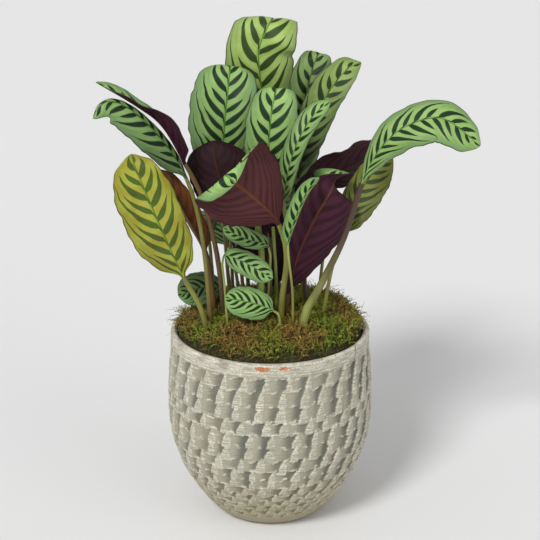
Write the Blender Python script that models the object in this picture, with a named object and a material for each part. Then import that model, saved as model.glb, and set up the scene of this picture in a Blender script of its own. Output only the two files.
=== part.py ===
"""Potted calathea: a glazed clay pot, its soil, a moss top and leaves on their stalks.

Metres, +Z up. The origin is the centre of the pot's foot. The front of the plant faces -Y.
"""
import math
import random

import bpy
import bmesh
import numpy as np
from mathutils import Vector

# The pot, from its foot to its lip
POT_HEIGHT = 0.161
POT_OUTER_PROFILE = (
    (0.0395, 0.0000), (0.0455, 0.0026), (0.0525, 0.0094), (0.0600, 0.0190), (0.0690, 0.0330),
    (0.0765, 0.0480), (0.0815, 0.0640), (0.0842, 0.0800), (0.0850, 0.0965), (0.0847, 0.1120),
    (0.0837, 0.1280), (0.0826, 0.1420), (0.0820, 0.1530), (0.0818, 0.1585),
)
POT_WALL = 0.0055
POT_FLOOR = 0.0080
POT_SIDES = 52
POT_LIP_ANGLES = (35, 90, 145)
POT_INNER_HEIGHTS = (0.1570, 0.1120, 0.0800, 0.0480, 0.0240)
POT_INNER_FOOT_RADIUS = 0.0380

# The ribs pressed into its wall, in courses. Each course has its lower edge, its upper edge and its
# shift round the pot, as a share of the space that one rib takes.
RIBS_AROUND = 30
RIB_COURSES = (
    (0.1385, 0.1485, 0.12), (0.1120, 0.1385, 0.47), (0.1010, 0.1120, 0.27), (0.0785, 0.1010, 0.92),
    (0.0675, 0.0785, 0.42), (0.0500, 0.0675, 0.85),
)
RIB_HALF_WIDTH = 0.0040
RIB_STRAY = 0.13
RIB_LEAN = 0.12
RIB_SEED = 60
SEAM_HALF_HEIGHT = 0.0012
HOLLOW_DEPTH = 0.0016
HOLLOW_EDGE = 0.0018

# What fills it, with a small gap to the wall and to every stalk
FIT_GAP = 0.0004
WALL_GAP = 0.0006
FILLING_SIDES = 32
SOIL_TOP = 0.140
SOIL_HEIGHTS = (0.0260, 0.0480, 0.0800, 0.1120)
SOIL_FOOT_RADIUS = 0.0370
MOSS_RIM_HEIGHT = 0.1570
MOSS_EDGE_HEIGHT = 0.1600
MOSS_CROWN_HEIGHT = 0.1790
MOSS_SHARES = (0.95, 0.84, 0.66, 0.44, 0.22, 0.0)
MOSS_LUMP = 0.0022
MOSS_SEED = 11
HOLE_CLEARANCE = 0.0005
HOLE_REACH_ABOVE_MOSS = 0.004
BORE_SIDES = 6
BORE_CORNER_REACH = 1.0 / math.cos(math.pi / BORE_SIDES)

# Every leaf blade and stalk
BLADE_THICKNESS = 0.0008
BLADE_ACROSS = (-1.0, -0.55, 0.0, 0.55, 1.0)
BLADE_ALONG = (0.0, 0.045, 0.12, 0.22, 0.33, 0.45, 0.57, 0.69, 0.80, 0.89, 0.955, 1.0)
BLADE_FLAT_BY = 0.12
BLADE_FULLNESS = (2.5, 0.52)
BLADE_TIP_FROM = 0.92
BLADE_TIP_DRAWN_IN = 0.30
LEAST_HALF_WIDTH = 0.0009
EDGE_TURN = 1.3
TURN_STEPS = 12
WAVE_STARTS = (2.4, 0.6)
STALK_SEGMENTS = 4
STALK_TAPER = 0.25
SHEATH_POWER = 1.5
MIDRIB_PROUD = 0.0009
MIDRIB_TAPER = 0.8
ROUTE_STEPS = 12


def leaf(route, blade_from, face, half_width, stalk=0.0017, sheath=0.2, widest=0.52,
         fold=0.0, bend=(0.0, 0.0), wave=0.0, waves=2.5):
    """One leaf: the hand placed points it grows through and the way its blade is shaped.

    route: points from the foot of the stalk, up the midrib, to the tip
    blade_from: which point of the route the blade starts at
    face: the way the upper side looks at each of the blade's points
    half_width: left and right of the midrib, seen from the upper side with the tip up
    stalk and sheath: the stalk's radius, and the share by which it is thicker at its foot
    widest: where along the blade it is widest, as a share of its length
    fold and bend: degrees that each half is raised at the midrib and turns by its edge
    """
    return dict(route=route, blade_from=blade_from, face=face, half_width=half_width, stalk=stalk,
                sheath=sheath, widest=widest, fold=fold, bend=bend, wave=wave, waves=waves)


LEAVES = {
    # The upright group at the top, upper sides to the front
    "leaf_01": leaf(
        ((-0.006, 0.024, 0.126), (-0.003, 0.032, 0.230), (-0.001, 0.036, 0.296), (-0.006, 0.030, 0.348),
         (-0.009, 0.027, 0.382), (-0.003, 0.029, 0.401), (0.003, 0.040, 0.408), (0.006, 0.052, 0.402)),
        2, ((0.1, -1, 0.1), (0.05, -1, 0.15), (0.05, -1, 0.3), (0, -0.8, 0.8), (0, -0.2, 1), (0, 0.4, 1)),
        (0.027, 0.028), widest=0.62, fold=12, bend=(-26, -26), wave=0.0015),
    "leaf_02": leaf(
        ((-0.028, 0.006, 0.126), (-0.036, 0.008, 0.225), (-0.038, 0.006, 0.286), (-0.036, 0.000, 0.328),
         (-0.033, 0.001, 0.357), (-0.031, 0.010, 0.374), (-0.030, 0.022, 0.373)),
        2, ((0, -1, 0.1), (0, -1, 0.2), (0, -1, 0.3), (0.1, -0.5, 1), (0.1, 0.3, 1)),
        (0.030, 0.025), fold=14, bend=(-34, -30)),
    "leaf_03": leaf(
        ((0.000, 0.003, 0.126), (0.000, 0.004, 0.215), (-0.001, -0.001, 0.270), (-0.001, -0.007, 0.312),
         (0.001, -0.008, 0.341), (0.005, -0.001, 0.359), (0.007, 0.009, 0.358)),
        2, ((0, -1, 0.1), (0, -1, 0.2), (0, -1, 0.3), (0, -0.5, 1), (0, 0.3, 1)),
        (0.020, 0.023), fold=16, bend=(-34, -30)),
    "leaf_04": leaf(
        ((0.014, 0.021, 0.126), (0.021, 0.026, 0.235), (0.023, 0.026, 0.300), (0.027, 0.023, 0.338),
         (0.032, 0.022, 0.364), (0.038, 0.027, 0.381), (0.043, 0.037, 0.380)),
        2, ((0.2, -1, 0.1), (0.2, -1, 0.2), (0.2, -1, 0.3), (0.1, -0.6, 1), (0, 0.3, 1)),
        (0.016, 0.017), fold=14, bend=(-30, -34)),
    "leaf_05": leaf(
        ((0.029, 0.013, 0.126), (0.027, 0.016, 0.225), (0.023, 0.017, 0.282), (0.033, 0.014, 0.320),
         (0.044, 0.014, 0.350), (0.060, 0.018, 0.371), (0.072, 0.025, 0.376)),
        2, ((0.2, -1, 0.1), (0.2, -1, 0.15), (0.1, -1, 0.3), (0.1, -0.9, 0.5), (0.1, -0.7, 0.9)),
        (0.015, 0.014), widest=0.56, fold=10, bend=(-18, -30)),
    "leaf_06": leaf(
        ((0.020, -0.006, 0.126), (0.018, -0.008, 0.205), (0.014, -0.014, 0.248), (0.011, -0.022, 0.274),
         (0.015, -0.028, 0.305), (0.023, -0.030, 0.329), (0.034, -0.029, 0.347), (0.046, -0.026, 0.357)),
        3, ((-0.8, -0.7, 0.2), (-0.8, -0.7, 0.3), (-0.8, -0.7, 0.4), (-0.6, -0.7, 0.5), (-0.3, -0.8, 0.7)),
        (0.014, 0.011), fold=10, bend=(-20, -10)),
    # The left hand group, one above the other
    "leaf_07": leaf(
        ((-0.034, -0.012, 0.126), (-0.041, -0.018, 0.220), (-0.053, -0.022, 0.277), (-0.066, -0.021, 0.305),
         (-0.083, -0.019, 0.335), (-0.102, -0.016, 0.350), (-0.134, -0.014, 0.369)),
        3, ((0.75, 0.5, 0.45), (0.7, 0.45, 0.55), (0.5, 0.1, 0.85), (0.45, -0.1, 0.9)),
        (0.015, 0.013), stalk=0.0022, sheath=0.3, widest=0.42, fold=14, bend=(10, 10), wave=0.001),
    "leaf_08": leaf(
        ((-0.045, -0.022, 0.126), (-0.051, -0.030, 0.225), (-0.057, -0.031, 0.270), (-0.065, -0.027, 0.295),
         (-0.078, -0.025, 0.319), (-0.094, -0.026, 0.339), (-0.109, -0.026, 0.352), (-0.122, -0.026, 0.357),
         (-0.131, -0.027, 0.353), (-0.136, -0.028, 0.344)),
        3, ((0.5, -0.65, 0.5), (0.5, -0.6, 0.6), (0.5, -0.55, 0.7), (0.4, -0.5, 0.8), (0, -0.5, 1),
            (-0.3, -0.5, 0.9), (-0.5, -0.5, 0.8)),
        (0.019, 0.017), stalk=0.0019, widest=0.56, fold=-8, bend=(-45, -50)),
    "leaf_09": leaf(
        ((-0.047, -0.034, 0.126), (-0.053, -0.034, 0.182), (-0.068, -0.035, 0.216), (-0.078, -0.041, 0.243),
         (-0.090, -0.044, 0.275), (-0.101, -0.043, 0.304), (-0.107, -0.037, 0.318)),
        2, ((-0.1, -1, 0.1), (-0.1, -1, 0.2), (-0.1, -1, 0.2), (-0.1, -1, 0.3), (0, -0.6, 0.8)),
        (0.027, 0.021), stalk=0.0025, widest=0.54, fold=6, bend=(-14, -16), wave=0.0018),
    "leaf_10": leaf(
        ((-0.044, -0.008, 0.126), (-0.047, -0.010, 0.195), (-0.052, -0.014, 0.230), (-0.064, -0.016, 0.258),
         (-0.077, -0.014, 0.281), (-0.087, -0.008, 0.297)),
        2, ((0.5, 0.8, 0.2), (0.5, 0.8, 0.2), (0.5, 0.8, 0.3), (0.5, 0.7, 0.5)),
        (0.012, 0.013), stalk=0.0030, sheath=0.3, fold=20, bend=(20, 20)),
    # The dark undersides in the middle and at the right
    "leaf_11": leaf(
        ((0.010, -0.025, 0.126), (0.009, -0.027, 0.185), (0.013, -0.036, 0.233), (0.007, -0.040, 0.262),
         (-0.008, -0.050, 0.283), (-0.024, -0.060, 0.300), (-0.033, -0.066, 0.309), (-0.033, -0.071, 0.311),
         (-0.029, -0.072, 0.308), (-0.026, -0.071, 0.305)),
        3, ((-0.5, 0.85, 0.1), (-0.5, 0.86, 0.05), (-0.51, 0.86, 0.07), (-0.6, 0.6, 0.5),
            (-0.45, -0.4, 0.8), (0.45, -0.87, 0.15), (0.51, -0.86, -0.07)),
        (0.037, 0.032), stalk=0.0026, widest=0.68, fold=-4, bend=(8, 8)),
    "leaf_12": leaf(
        ((-0.019, -0.006, 0.126), (-0.023, -0.008, 0.210), (-0.030, -0.011, 0.250), (-0.037, -0.014, 0.282),
         (-0.043, -0.013, 0.307), (-0.045, -0.008, 0.321)),
        2, ((0, 1, 0.1), (0, 1, 0.2), (0, 1, 0.3), (0, 0.9, 0.5)),
        (0.025, 0.025), widest=0.66, fold=4, bend=(10, 10), wave=0.0022, waves=3.5),
    "leaf_13": leaf(
        ((-0.006, -0.007, 0.126), (-0.002, -0.009, 0.200), (0.000, -0.012, 0.242), (-0.001, -0.015, 0.278),
         (-0.003, -0.015, 0.304), (-0.005, -0.012, 0.316)),
        2, ((0, 1, 0.1), (0, 1, 0.2), (0, 1, 0.3), (0, 0.9, 0.5)),
        (0.011, 0.009), stalk=0.0014, widest=0.60, fold=6, bend=(14, 14), wave=0.0012, waves=3.5),
    "leaf_14": leaf(
        ((0.031, -0.002, 0.126), (0.028, 0.002, 0.215), (0.025, 0.003, 0.264), (0.041, 0.004, 0.285),
         (0.062, 0.008, 0.294), (0.084, 0.015, 0.304), (0.098, 0.021, 0.313)),
        2, ((-0.4, 0.9, 0.3), (-0.4, 0.85, 0.4), (-0.3, 0.85, 0.4), (-0.3, 0.8, 0.5), (-0.3, 0.8, 0.5)),
        (0.016, 0.018), fold=4, bend=(-10, 14), wave=0.0022, waves=3.0),
    "leaf_15": leaf(
        ((0.015, -0.015, 0.126), (0.013, -0.018, 0.172), (0.014, -0.021, 0.197), (0.023, -0.027, 0.234),
         (0.035, -0.031, 0.264), (0.046, -0.030, 0.284), (0.052, -0.023, 0.295), (0.056, -0.014, 0.298)),
        2, ((0.1, 1, 0.1), (0.1, 1, 0.1), (0.1, 1, 0.2), (0.1, 0.9, 0.4), (0.1, 0.5, 0.9), (0.1, 0.0, 1)),
        (0.029, 0.017), stalk=0.0028, widest=0.66, fold=6, bend=(12, 12), wave=0.001),
    # The right hand pair, the upper one long and arched
    "leaf_16": leaf(
        ((0.024, -0.037, 0.126), (0.027, -0.037, 0.182), (0.039, -0.036, 0.208), (0.058, -0.034, 0.249),
         (0.071, -0.031, 0.292), (0.080, -0.030, 0.312), (0.090, -0.029, 0.326), (0.106, -0.030, 0.339),
         (0.132, -0.033, 0.345), (0.161, -0.038, 0.325)),
        4, ((-0.3, -0.9, 0.2), (-0.4, -0.9, 0.3), (-0.3, -0.8, 0.5), (-0.1, -0.75, 0.65), (0.1, -0.7, 0.7),
            (0.4, -0.7, 0.6)),
        (0.0175, 0.021), stalk=0.0027, sheath=0.7, widest=0.68, fold=10, bend=(-24, -20), wave=0.001),
    "leaf_17": leaf(
        ((0.037, -0.010, 0.126), (0.048, -0.010, 0.205), (0.058, -0.010, 0.243), (0.063, -0.010, 0.262),
         (0.073, -0.008, 0.281), (0.086, -0.003, 0.299), (0.097, 0.004, 0.305)),
        2, ((0, -1, 0.2), (0, -1, 0.2), (0, -1, 0.3), (0, -1, 0.3), (0, -0.8, 0.6)),
        (0.012, 0.018), fold=8, bend=(-12, -20)),
    # The small low leaves over the moss
    "leaf_18": leaf(
        ((-0.031, 0.013, 0.126), (-0.031, 0.012, 0.176), (-0.039, 0.009, 0.190), (-0.057, 0.004, 0.193),
         (-0.075, -0.002, 0.188)),
        2, ((0, -0.7, 0.7), (0, -0.75, 0.65), (-0.3, -0.7, 0.6)),
        (0.015, 0.015), stalk=0.0012, fold=8, bend=(-22, -22)),
    "leaf_19": leaf(
        ((0.007, -0.038, 0.126), (0.008, -0.038, 0.178), (0.003, -0.038, 0.189), (-0.014, -0.038, 0.196),
         (-0.036, -0.037, 0.200)),
        2, ((0, -0.75, 0.65), (0, -0.8, 0.6), (0.2, -0.8, 0.6)),
        (0.014, 0.013), stalk=0.0013, fold=8, bend=(-26, -22)),
    "leaf_20": leaf(
        ((-0.031, -0.032, 0.126), (-0.036, -0.031, 0.205), (-0.037, -0.032, 0.232), (-0.022, -0.035, 0.230),
         (0.002, -0.037, 0.216)),
        2, ((0, -0.85, 0.5), (0, -0.85, 0.5), (0, -0.85, 0.5)),
        (0.010, 0.010), stalk=0.0011, fold=6, bend=(-20, -20)),
    "leaf_21": leaf(
        ((-0.006, -0.019, 0.126), (-0.001, -0.022, 0.205), (-0.001, -0.026, 0.238), (-0.018, -0.031, 0.247),
         (-0.037, -0.031, 0.256)),
        2, ((0, -0.8, 0.6), (0, -0.9, 0.4), (0, -0.9, 0.4)),
        (0.007, 0.009), stalk=0.0010, fold=10, bend=(-20, -30), wave=0.0012, waves=3.0),
    "leaf_22": leaf(
        ((0.018, -0.032, 0.126), (0.018, -0.036, 0.200), (0.014, -0.044, 0.246), (0.020, -0.045, 0.270),
         (0.029, -0.045, 0.291), (0.038, -0.043, 0.301)),
        2, ((-0.5, -0.8, 0.2), (-0.6, -0.7, 0.2), (-0.6, -0.7, 0.3), (-0.4, -0.7, 0.5)),
        (0.008, 0.008), stalk=0.0011, fold=35, bend=(10, 10)),
    "leaf_23": leaf(
        ((-0.014, -0.016, 0.126), (-0.008, -0.014, 0.190), (-0.006, -0.016, 0.210), (-0.014, -0.020, 0.226),
         (-0.027, -0.021, 0.238)),
        2, ((-0.3, 0.9, 0.2), (-0.3, 0.9, 0.3), (-0.3, 0.9, 0.3)),
        (0.010, 0.010), stalk=0.0010, fold=8, bend=(10, 10)),
    # The back of the plant
    "leaf_24": leaf(
        ((-0.016, 0.031, 0.126), (-0.020, 0.042, 0.220), (-0.022, 0.054, 0.280), (-0.024, 0.068, 0.320),
         (-0.025, 0.090, 0.345), (-0.025, 0.114, 0.353)),
        2, ((0, -0.9, 0.4), (0, -0.7, 0.7), (0, -0.3, 0.9), (0, 0.2, 1)),
        (0.026, 0.026), fold=8, bend=(-18, -18), wave=0.0015),
    "leaf_25": leaf(
        ((0.015, 0.035, 0.126), (0.017, 0.048, 0.205), (0.018, 0.060, 0.255), (0.020, 0.078, 0.290),
         (0.022, 0.101, 0.308), (0.023, 0.126, 0.308)),
        2, ((0.1, -0.9, 0.4), (0.1, -0.7, 0.7), (0.1, -0.2, 1), (0.1, 0.4, 1)),
        (0.024, 0.022), fold=8, bend=(-18, -18), wave=0.0015),
    "leaf_26": leaf(
        ((-0.030, 0.026, 0.126), (-0.032, 0.038, 0.200), (-0.034, 0.050, 0.240), (-0.037, 0.068, 0.272),
         (-0.038, 0.092, 0.288), (-0.037, 0.117, 0.284)),
        2, ((-0.1, -0.9, 0.4), (-0.1, -0.7, 0.7), (-0.1, -0.2, 1), (-0.1, 0.4, 1)),
        (0.021, 0.021), fold=8, bend=(-18, -18), wave=0.0015),
    "leaf_27": leaf(
        ((0.000, 0.047, 0.126), (0.001, 0.058, 0.190), (0.002, 0.074, 0.220), (0.006, 0.095, 0.239),
         (0.012, 0.117, 0.243), (0.019, 0.138, 0.229)),
        2, ((0, -0.7, 0.7), (-0.1, -0.4, 1), (-0.2, 0, 1), (-0.2, 0.5, 0.9)),
        (0.022, 0.022), fold=6, bend=(-18, -18), wave=0.0015),
    "leaf_28": leaf(
        ((0.023, 0.046, 0.126), (0.028, 0.056, 0.180), (0.034, 0.070, 0.205), (0.044, 0.088, 0.222),
         (0.054, 0.108, 0.226), (0.062, 0.128, 0.214)),
        2, ((-0.3, -0.6, 0.7), (-0.2, -0.3, 1), (0, 0, 1), (0.2, 0.5, 0.9)),
        (0.020, 0.020), fold=6, bend=(-18, -18), wave=0.0015),
    "leaf_29": leaf(
        ((-0.023, 0.047, 0.126), (-0.028, 0.056, 0.180), (-0.035, 0.070, 0.205), (-0.044, 0.088, 0.222),
         (-0.052, 0.108, 0.226), (-0.058, 0.128, 0.214)),
        2, ((0.3, -0.6, 0.7), (0.2, -0.3, 1), (0, 0, 1), (-0.2, 0.5, 0.9)),
        (0.020, 0.020), fold=6, bend=(-18, -18), wave=0.0015),
    "leaf_30": leaf(
        ((0.002, 0.035, 0.126), (0.001, 0.027, 0.160), (0.000, 0.019, 0.186), (-0.003, 0.016, 0.206),
         (-0.008, 0.015, 0.232), (-0.013, 0.015, 0.255), (-0.018, 0.016, 0.272)),
        2, ((0.1, 1, 0.1), (0.1, 1, 0.1), (0.1, 1, 0.1), (0.1, 1, 0.15), (0.1, 1, 0.2)),
        (0.025, 0.026), widest=0.5, fold=6, bend=(8, 8), wave=0.0012),
    "leaf_31": leaf(
        ((0.007, 0.025, 0.126), (0.008, 0.036, 0.225), (0.010, 0.046, 0.282), (0.012, 0.049, 0.322),
         (0.012, 0.057, 0.348), (0.011, 0.072, 0.357)),
        2, ((0, 1, 0), (0, 1, 0.2), (0, 0.9, 0.5), (0, 0.6, 0.9)),
        (0.021, 0.021), fold=6, bend=(8, 8), wave=0.0015),
    "leaf_32": leaf(
        ((-0.043, 0.014, 0.126), (-0.047, 0.019, 0.190), (-0.050, 0.025, 0.226), (-0.054, 0.031, 0.262),
         (-0.058, 0.038, 0.290), (-0.064, 0.047, 0.308)),
        2, ((1, -0.2, 0.2), (1, -0.2, 0.2), (1, -0.1, 0.4), (0.9, 0.0, 0.6)),
        (0.018, 0.020), fold=8, bend=(12, 12), wave=0.0015),
    "leaf_33": leaf(
        ((0.036, 0.027, 0.126), (0.042, 0.034, 0.185), (0.045, 0.038, 0.213), (0.048, 0.043, 0.242),
         (0.051, 0.049, 0.266), (0.056, 0.058, 0.280)),
        2, ((-1, -0.2, 0.2), (-1, -0.2, 0.2), (-1, -0.1, 0.4), (-0.9, 0.0, 0.6)),
        (0.018, 0.017), fold=8, bend=(12, 12), wave=0.0015),
}

# Stalks whose leaves were cut away: the points each runs through, its foot radius and its top radius
CUT_STALKS = {
    "cut_stalk_1": (((-0.0120, -0.0280, 0.126), (-0.0080, -0.0255, 0.190), (-0.0065, -0.0225, 0.225),
                     (-0.0098, -0.0185, 0.256)), 0.0026, 0.0028),
    "cut_stalk_2": (((0.0060, -0.0140, 0.126), (0.0050, -0.0175, 0.205), (0.0035, -0.0195, 0.235),
                     (0.0025, -0.0200, 0.2535)), 0.0013, 0.0013),
}
CUT_STALK_SIDES = 8


def clear_scene():
    for scene_object in list(bpy.data.objects):
        bpy.data.objects.remove(scene_object, do_unlink=True)


def material(name, colour, roughness):
    made = bpy.data.materials.new(name)
    made.use_nodes = True
    shader = made.node_tree.nodes["Principled BSDF"]
    shader.inputs["Base Color"].default_value = (*colour, 1.0)
    shader.inputs["Roughness"].default_value = roughness
    shader.inputs["Metallic"].default_value = 0.0
    return made


def add_object(name, mesh, finish):
    made = bpy.data.objects.new(name, mesh)
    mesh.materials.append(finish)
    bpy.context.scene.collection.objects.link(made)
    return made


def smooth_step(low, high, value):
    share = np.clip((np.asarray(value, float) - low) / (high - low), 0.0, 1.0)
    return share * share * (3.0 - 2.0 * share)


def smooth_route(points):
    """Dense points on a smooth curve through the given ones, with the length run at each."""
    points = np.asarray(points, float)
    padded = np.vstack([2.0 * points[0] - points[1], points, 2.0 * points[-1] - points[-2]])
    dense = []
    for index in range(len(points) - 1):
        before, start, end, after = padded[index:index + 4]
        for step in range(ROUTE_STEPS):
            t = step / ROUTE_STEPS
            dense.append(0.5 * (2.0 * start + (end - before) * t
                                + (2.0 * before - 5.0 * start + 4.0 * end - after) * t ** 2
                                + (3.0 * start - before - 3.0 * end + after) * t ** 3))
    dense.append(points[-1])
    dense = np.array(dense)
    run = np.concatenate([[0.0], np.cumsum(np.linalg.norm(np.diff(dense, axis=0), axis=1))])
    return dense, run


def unit(vectors):
    return vectors / np.linalg.norm(vectors, axis=-1, keepdims=True)


def frames_along(spec, lengths, dense, run):
    """Position, side and upper direction of the midrib at each length run."""
    place = np.stack([np.interp(lengths, run, dense[:, axis]) for axis in range(3)], -1)
    slope = unit(np.gradient(dense, run, axis=0))
    tangent = unit(np.stack([np.interp(lengths, run, slope[:, axis]) for axis in range(3)], -1))
    knots = run[spec["blade_from"] * ROUTE_STEPS::ROUTE_STEPS]
    face = unit(np.asarray(spec["face"], float))
    upper = np.stack([np.interp(lengths, knots, face[:, axis]) for axis in range(3)], -1)
    upper = unit(upper - tangent * np.sum(upper * tangent, axis=-1, keepdims=True))
    return place, np.cross(tangent, upper), upper


def outline(along, widest):
    """Share of the half width at each share of the blade's length: oblong, with a short point."""
    shifted = along ** (math.log(0.5) / math.log(widest))
    rounded = (1.0 - np.abs(2.0 * shifted - 1.0) ** BLADE_FULLNESS[0]) ** BLADE_FULLNESS[1]
    return rounded * (1.0 - BLADE_TIP_DRAWN_IN * smooth_step(BLADE_TIP_FROM, 1.0, along))


def stalk_radius(spec, share):
    """Radius at each share of the stalk's own length: a sheath at the foot, slim at the blade."""
    share = np.clip(share, 0.0, 1.0)
    slim = spec["stalk"] * (1.0 - STALK_TAPER * share)
    return slim * (1.0 + spec["sheath"] * (1.0 - share) ** SHEATH_POWER)


def across_offsets(spec, half_widths, along, across):
    """Sideways and upward offset of the blade's points, by adding up its turn from the midrib out."""
    side_out = np.zeros((len(along), len(across)))
    upward = np.zeros_like(side_out)
    for column, share in enumerate(across):
        hand = 0 if share < 0 else 1
        bend = spec["bend"][hand]
        ring = (np.arange(TURN_STEPS) + 0.5) / TURN_STEPS * abs(share)
        turn = np.radians(spec["fold"] + bend * ring * EDGE_TURN)
        wide = half_widths[:, hand] * abs(share) / TURN_STEPS
        side_out[:, column] = math.copysign(1.0, share) * wide * np.sum(np.cos(turn))
        upward[:, column] = wide * np.sum(np.sin(turn))
        ripple = np.sin(2.0 * math.pi * spec["waves"] * along + WAVE_STARTS[hand])
        upward[:, column] += spec["wave"] * abs(share) ** 2 * ripple * np.sin(math.pi * along)
    return side_out, upward


def leaf_rings(spec, along_blade, across, stalk_segments, thickness):
    """Rings of points round the stalk and then round the thin blade, from the foot to the tip."""
    dense, run = smooth_route(spec["route"])
    blade_start = run[spec["blade_from"] * ROUTE_STEPS]
    blade_length = run[-1] - blade_start
    along = np.asarray(along_blade, float)
    stalk_lengths = blade_start * np.arange(stalk_segments) / stalk_segments
    lengths = np.concatenate([stalk_lengths, blade_start + blade_length * along])
    place, side, upper = frames_along(spec, lengths, dense, run)
    share = np.concatenate([np.zeros(stalk_segments), along])
    half_widths = outline(share, spec["widest"])[:, None] * np.array(spec["half_width"])[None, :]
    half_widths = np.maximum(half_widths, LEAST_HALF_WIDTH)
    side_out, upward = across_offsets(spec, half_widths, share, across)
    flat = smooth_step(0.0, BLADE_FLAT_BY, share)[:, None]
    radius = stalk_radius(spec, lengths / blade_start)[:, None]
    count = len(across)
    middle = np.abs(across) < 1e-6
    rings = []
    for below in (False, True):
        angle = math.pi * (count - 0.5 - np.arange(count)) / count * (-1.0 if below else 1.0)
        round_side = radius * np.cos(angle)[None, :]
        round_up = radius * np.sin(angle)[None, :]
        lift = np.full((len(lengths), count), (-0.5 if below else 0.5) * thickness)
        if below:
            lift[:, middle] -= (MIDRIB_PROUD * (1.0 - MIDRIB_TAPER * share))[:, None]
        sideways = round_side * (1.0 - flat) + side_out * flat
        raised = round_up * (1.0 - flat) + (upward + lift) * flat
        points = (place[:, None, :] + side[:, None, :] * sideways[..., None]
                  + upper[:, None, :] * raised[..., None])
        rings.append(points)
    return rings[0], rings[1]


def leaf_mesh(name, spec):
    """A closed leaf: stalk and blade in one loft, both faces split into triangles alike."""
    top, bottom = leaf_rings(spec, BLADE_ALONG, np.array(BLADE_ACROSS), STALK_SEGMENTS, BLADE_THICKNESS)
    rows, columns = top.shape[:2]
    mesh = bmesh.new()
    upper = [[mesh.verts.new(top[i, j]) for j in range(columns)] for i in range(rows)]
    lower = [[mesh.verts.new(bottom[i, j]) for j in range(columns)] for i in range(rows)]
    for i in range(rows - 1):
        for j in range(columns - 1):
            a, b, c, d = (i, j), (i, j + 1), (i + 1, j + 1), (i + 1, j)
            for first, second, third in ((a, b, c), (a, c, d)):
                corners = (first, second, third)
                mesh.faces.new([upper[row][column] for row, column in corners])
                mesh.faces.new([lower[row][column] for row, column in reversed(corners)])
        for j in (0, columns - 1):
            strip = (upper[i][j], upper[i + 1][j], lower[i + 1][j], lower[i][j])
            strip = strip if j == 0 else strip[::-1]
            mesh.faces.new((strip[0], strip[1], strip[2]))
            mesh.faces.new((strip[0], strip[2], strip[3]))
    for i, turned in ((0, False), (rows - 1, True)):
        loop = upper[i] + lower[i][::-1]
        mesh.faces.new(loop[::-1] if turned else loop)
    bmesh.ops.triangulate(mesh, faces=[face for face in mesh.faces if len(face.verts) > 4])
    bmesh.ops.recalc_face_normals(mesh, faces=mesh.faces)
    made = bpy.data.meshes.new(name)
    mesh.to_mesh(made)
    mesh.free()
    made.shade_smooth()
    return made


def join_rings(mesh, low, high):
    """Close the wall between two rings, each a list of angles and points once round the axis."""
    if len(low) == 1 or len(high) == 1:
        tip, ring = (low[0][1], high) if len(low) == 1 else (high[0][1], low)
        for (_, here), (_, after) in zip(ring, ring[1:] + ring[:1]):
            mesh.faces.new((tip, here, after))
        return
    whole = 2 * math.pi
    start = low[0][0]
    high = [(angle + whole * round((start - angle) / whole), point) for angle, point in high]
    high.sort(key=lambda place: place[0])
    first = min(range(len(high)), key=lambda k: abs(high[k][0] - start))
    high = high[first:] + [(angle + whole, point) for angle, point in high[:first]]
    low = low + [(low[0][0] + whole, low[0][1])]
    high = high + [(high[0][0] + whole, high[0][1])]
    i = j = 0
    while i + 1 < len(low) or j + 1 < len(high):
        step_low = j + 1 == len(high)
        if i + 1 < len(low) and j + 1 < len(high):
            step_low = low[i + 1][0] - high[j][0] <= high[j + 1][0] - low[i][0]
        if step_low:
            mesh.faces.new((low[i][1], low[i + 1][1], high[j][1]))
            i += 1
        else:
            mesh.faces.new((low[i][1], high[j + 1][1], high[j][1]))
            j += 1


def turned_mesh(name, profile, sides):
    """A solid of revolution from a profile that starts and ends on the axis.

    A place on the profile is a radius and a height, and may have a row of its own: the angle and
    the sink of each of its points.
    """
    mesh = bmesh.new()
    even = [(2 * math.pi * k / sides, 0.0) for k in range(sides)]
    rings = []
    for radius, height, *own_row in profile:
        if radius < 1e-6:
            rings.append([(0.0, mesh.verts.new((0.0, 0.0, height)))])
            continue
        ring = []
        for angle, sink in (own_row[0] if own_row else even):
            reach = radius - sink
            ring.append((angle, mesh.verts.new((reach * math.cos(angle), reach * math.sin(angle), height))))
        rings.append(ring)
    for low, high in zip(rings, rings[1:]):
        join_rings(mesh, low, high)
    bmesh.ops.recalc_face_normals(mesh, faces=mesh.faces)
    made = bpy.data.meshes.new(name)
    mesh.to_mesh(made)
    mesh.free()
    made.shade_smooth()
    made.set_sharp_from_angle(angle=math.radians(40))
    return made


def outer_radius(height):
    """Radius of the pot's outer wall at a height, over its ribs."""
    heights = [point[1] for point in POT_OUTER_PROFILE]
    radii = [point[0] for point in POT_OUTER_PROFILE]
    return float(np.interp(height, heights, radii))


def inner_radius(height):
    return outer_radius(height) - POT_WALL


def rib_angle(place):
    """Angle from +X of a place counted in ribs, to the right from the front."""
    return 2 * math.pi * place / RIBS_AROUND - math.pi / 2


def pressed_rows():
    """The wall's ribs, two rows a course, with hollows that are deepest just before a rib."""
    rows = []
    for course, (low, high, shift) in reversed(list(enumerate(RIB_COURSES))):
        draw = random.Random(RIB_SEED + course)
        strays = [draw.uniform(-RIB_STRAY, RIB_STRAY) for _ in range(RIBS_AROUND)]
        for height in (low + SEAM_HALF_HEIGHT, high - SEAM_HALF_HEIGHT):
            radius = outer_radius(height)
            lean = RIB_LEAN * (height - (low + high) / 2) / radius
            edge = RIB_HALF_WIDTH / radius
            row = []
            for rib, stray in enumerate(strays):
                middle = rib_angle(rib - shift + stray) + lean
                deepest = middle - edge - HOLLOW_EDGE / radius
                row += [(deepest, HOLLOW_DEPTH), (middle - edge, 0.0), (middle + edge, 0.0)]
            rows.append((radius, height, row))
    return rows


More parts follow.
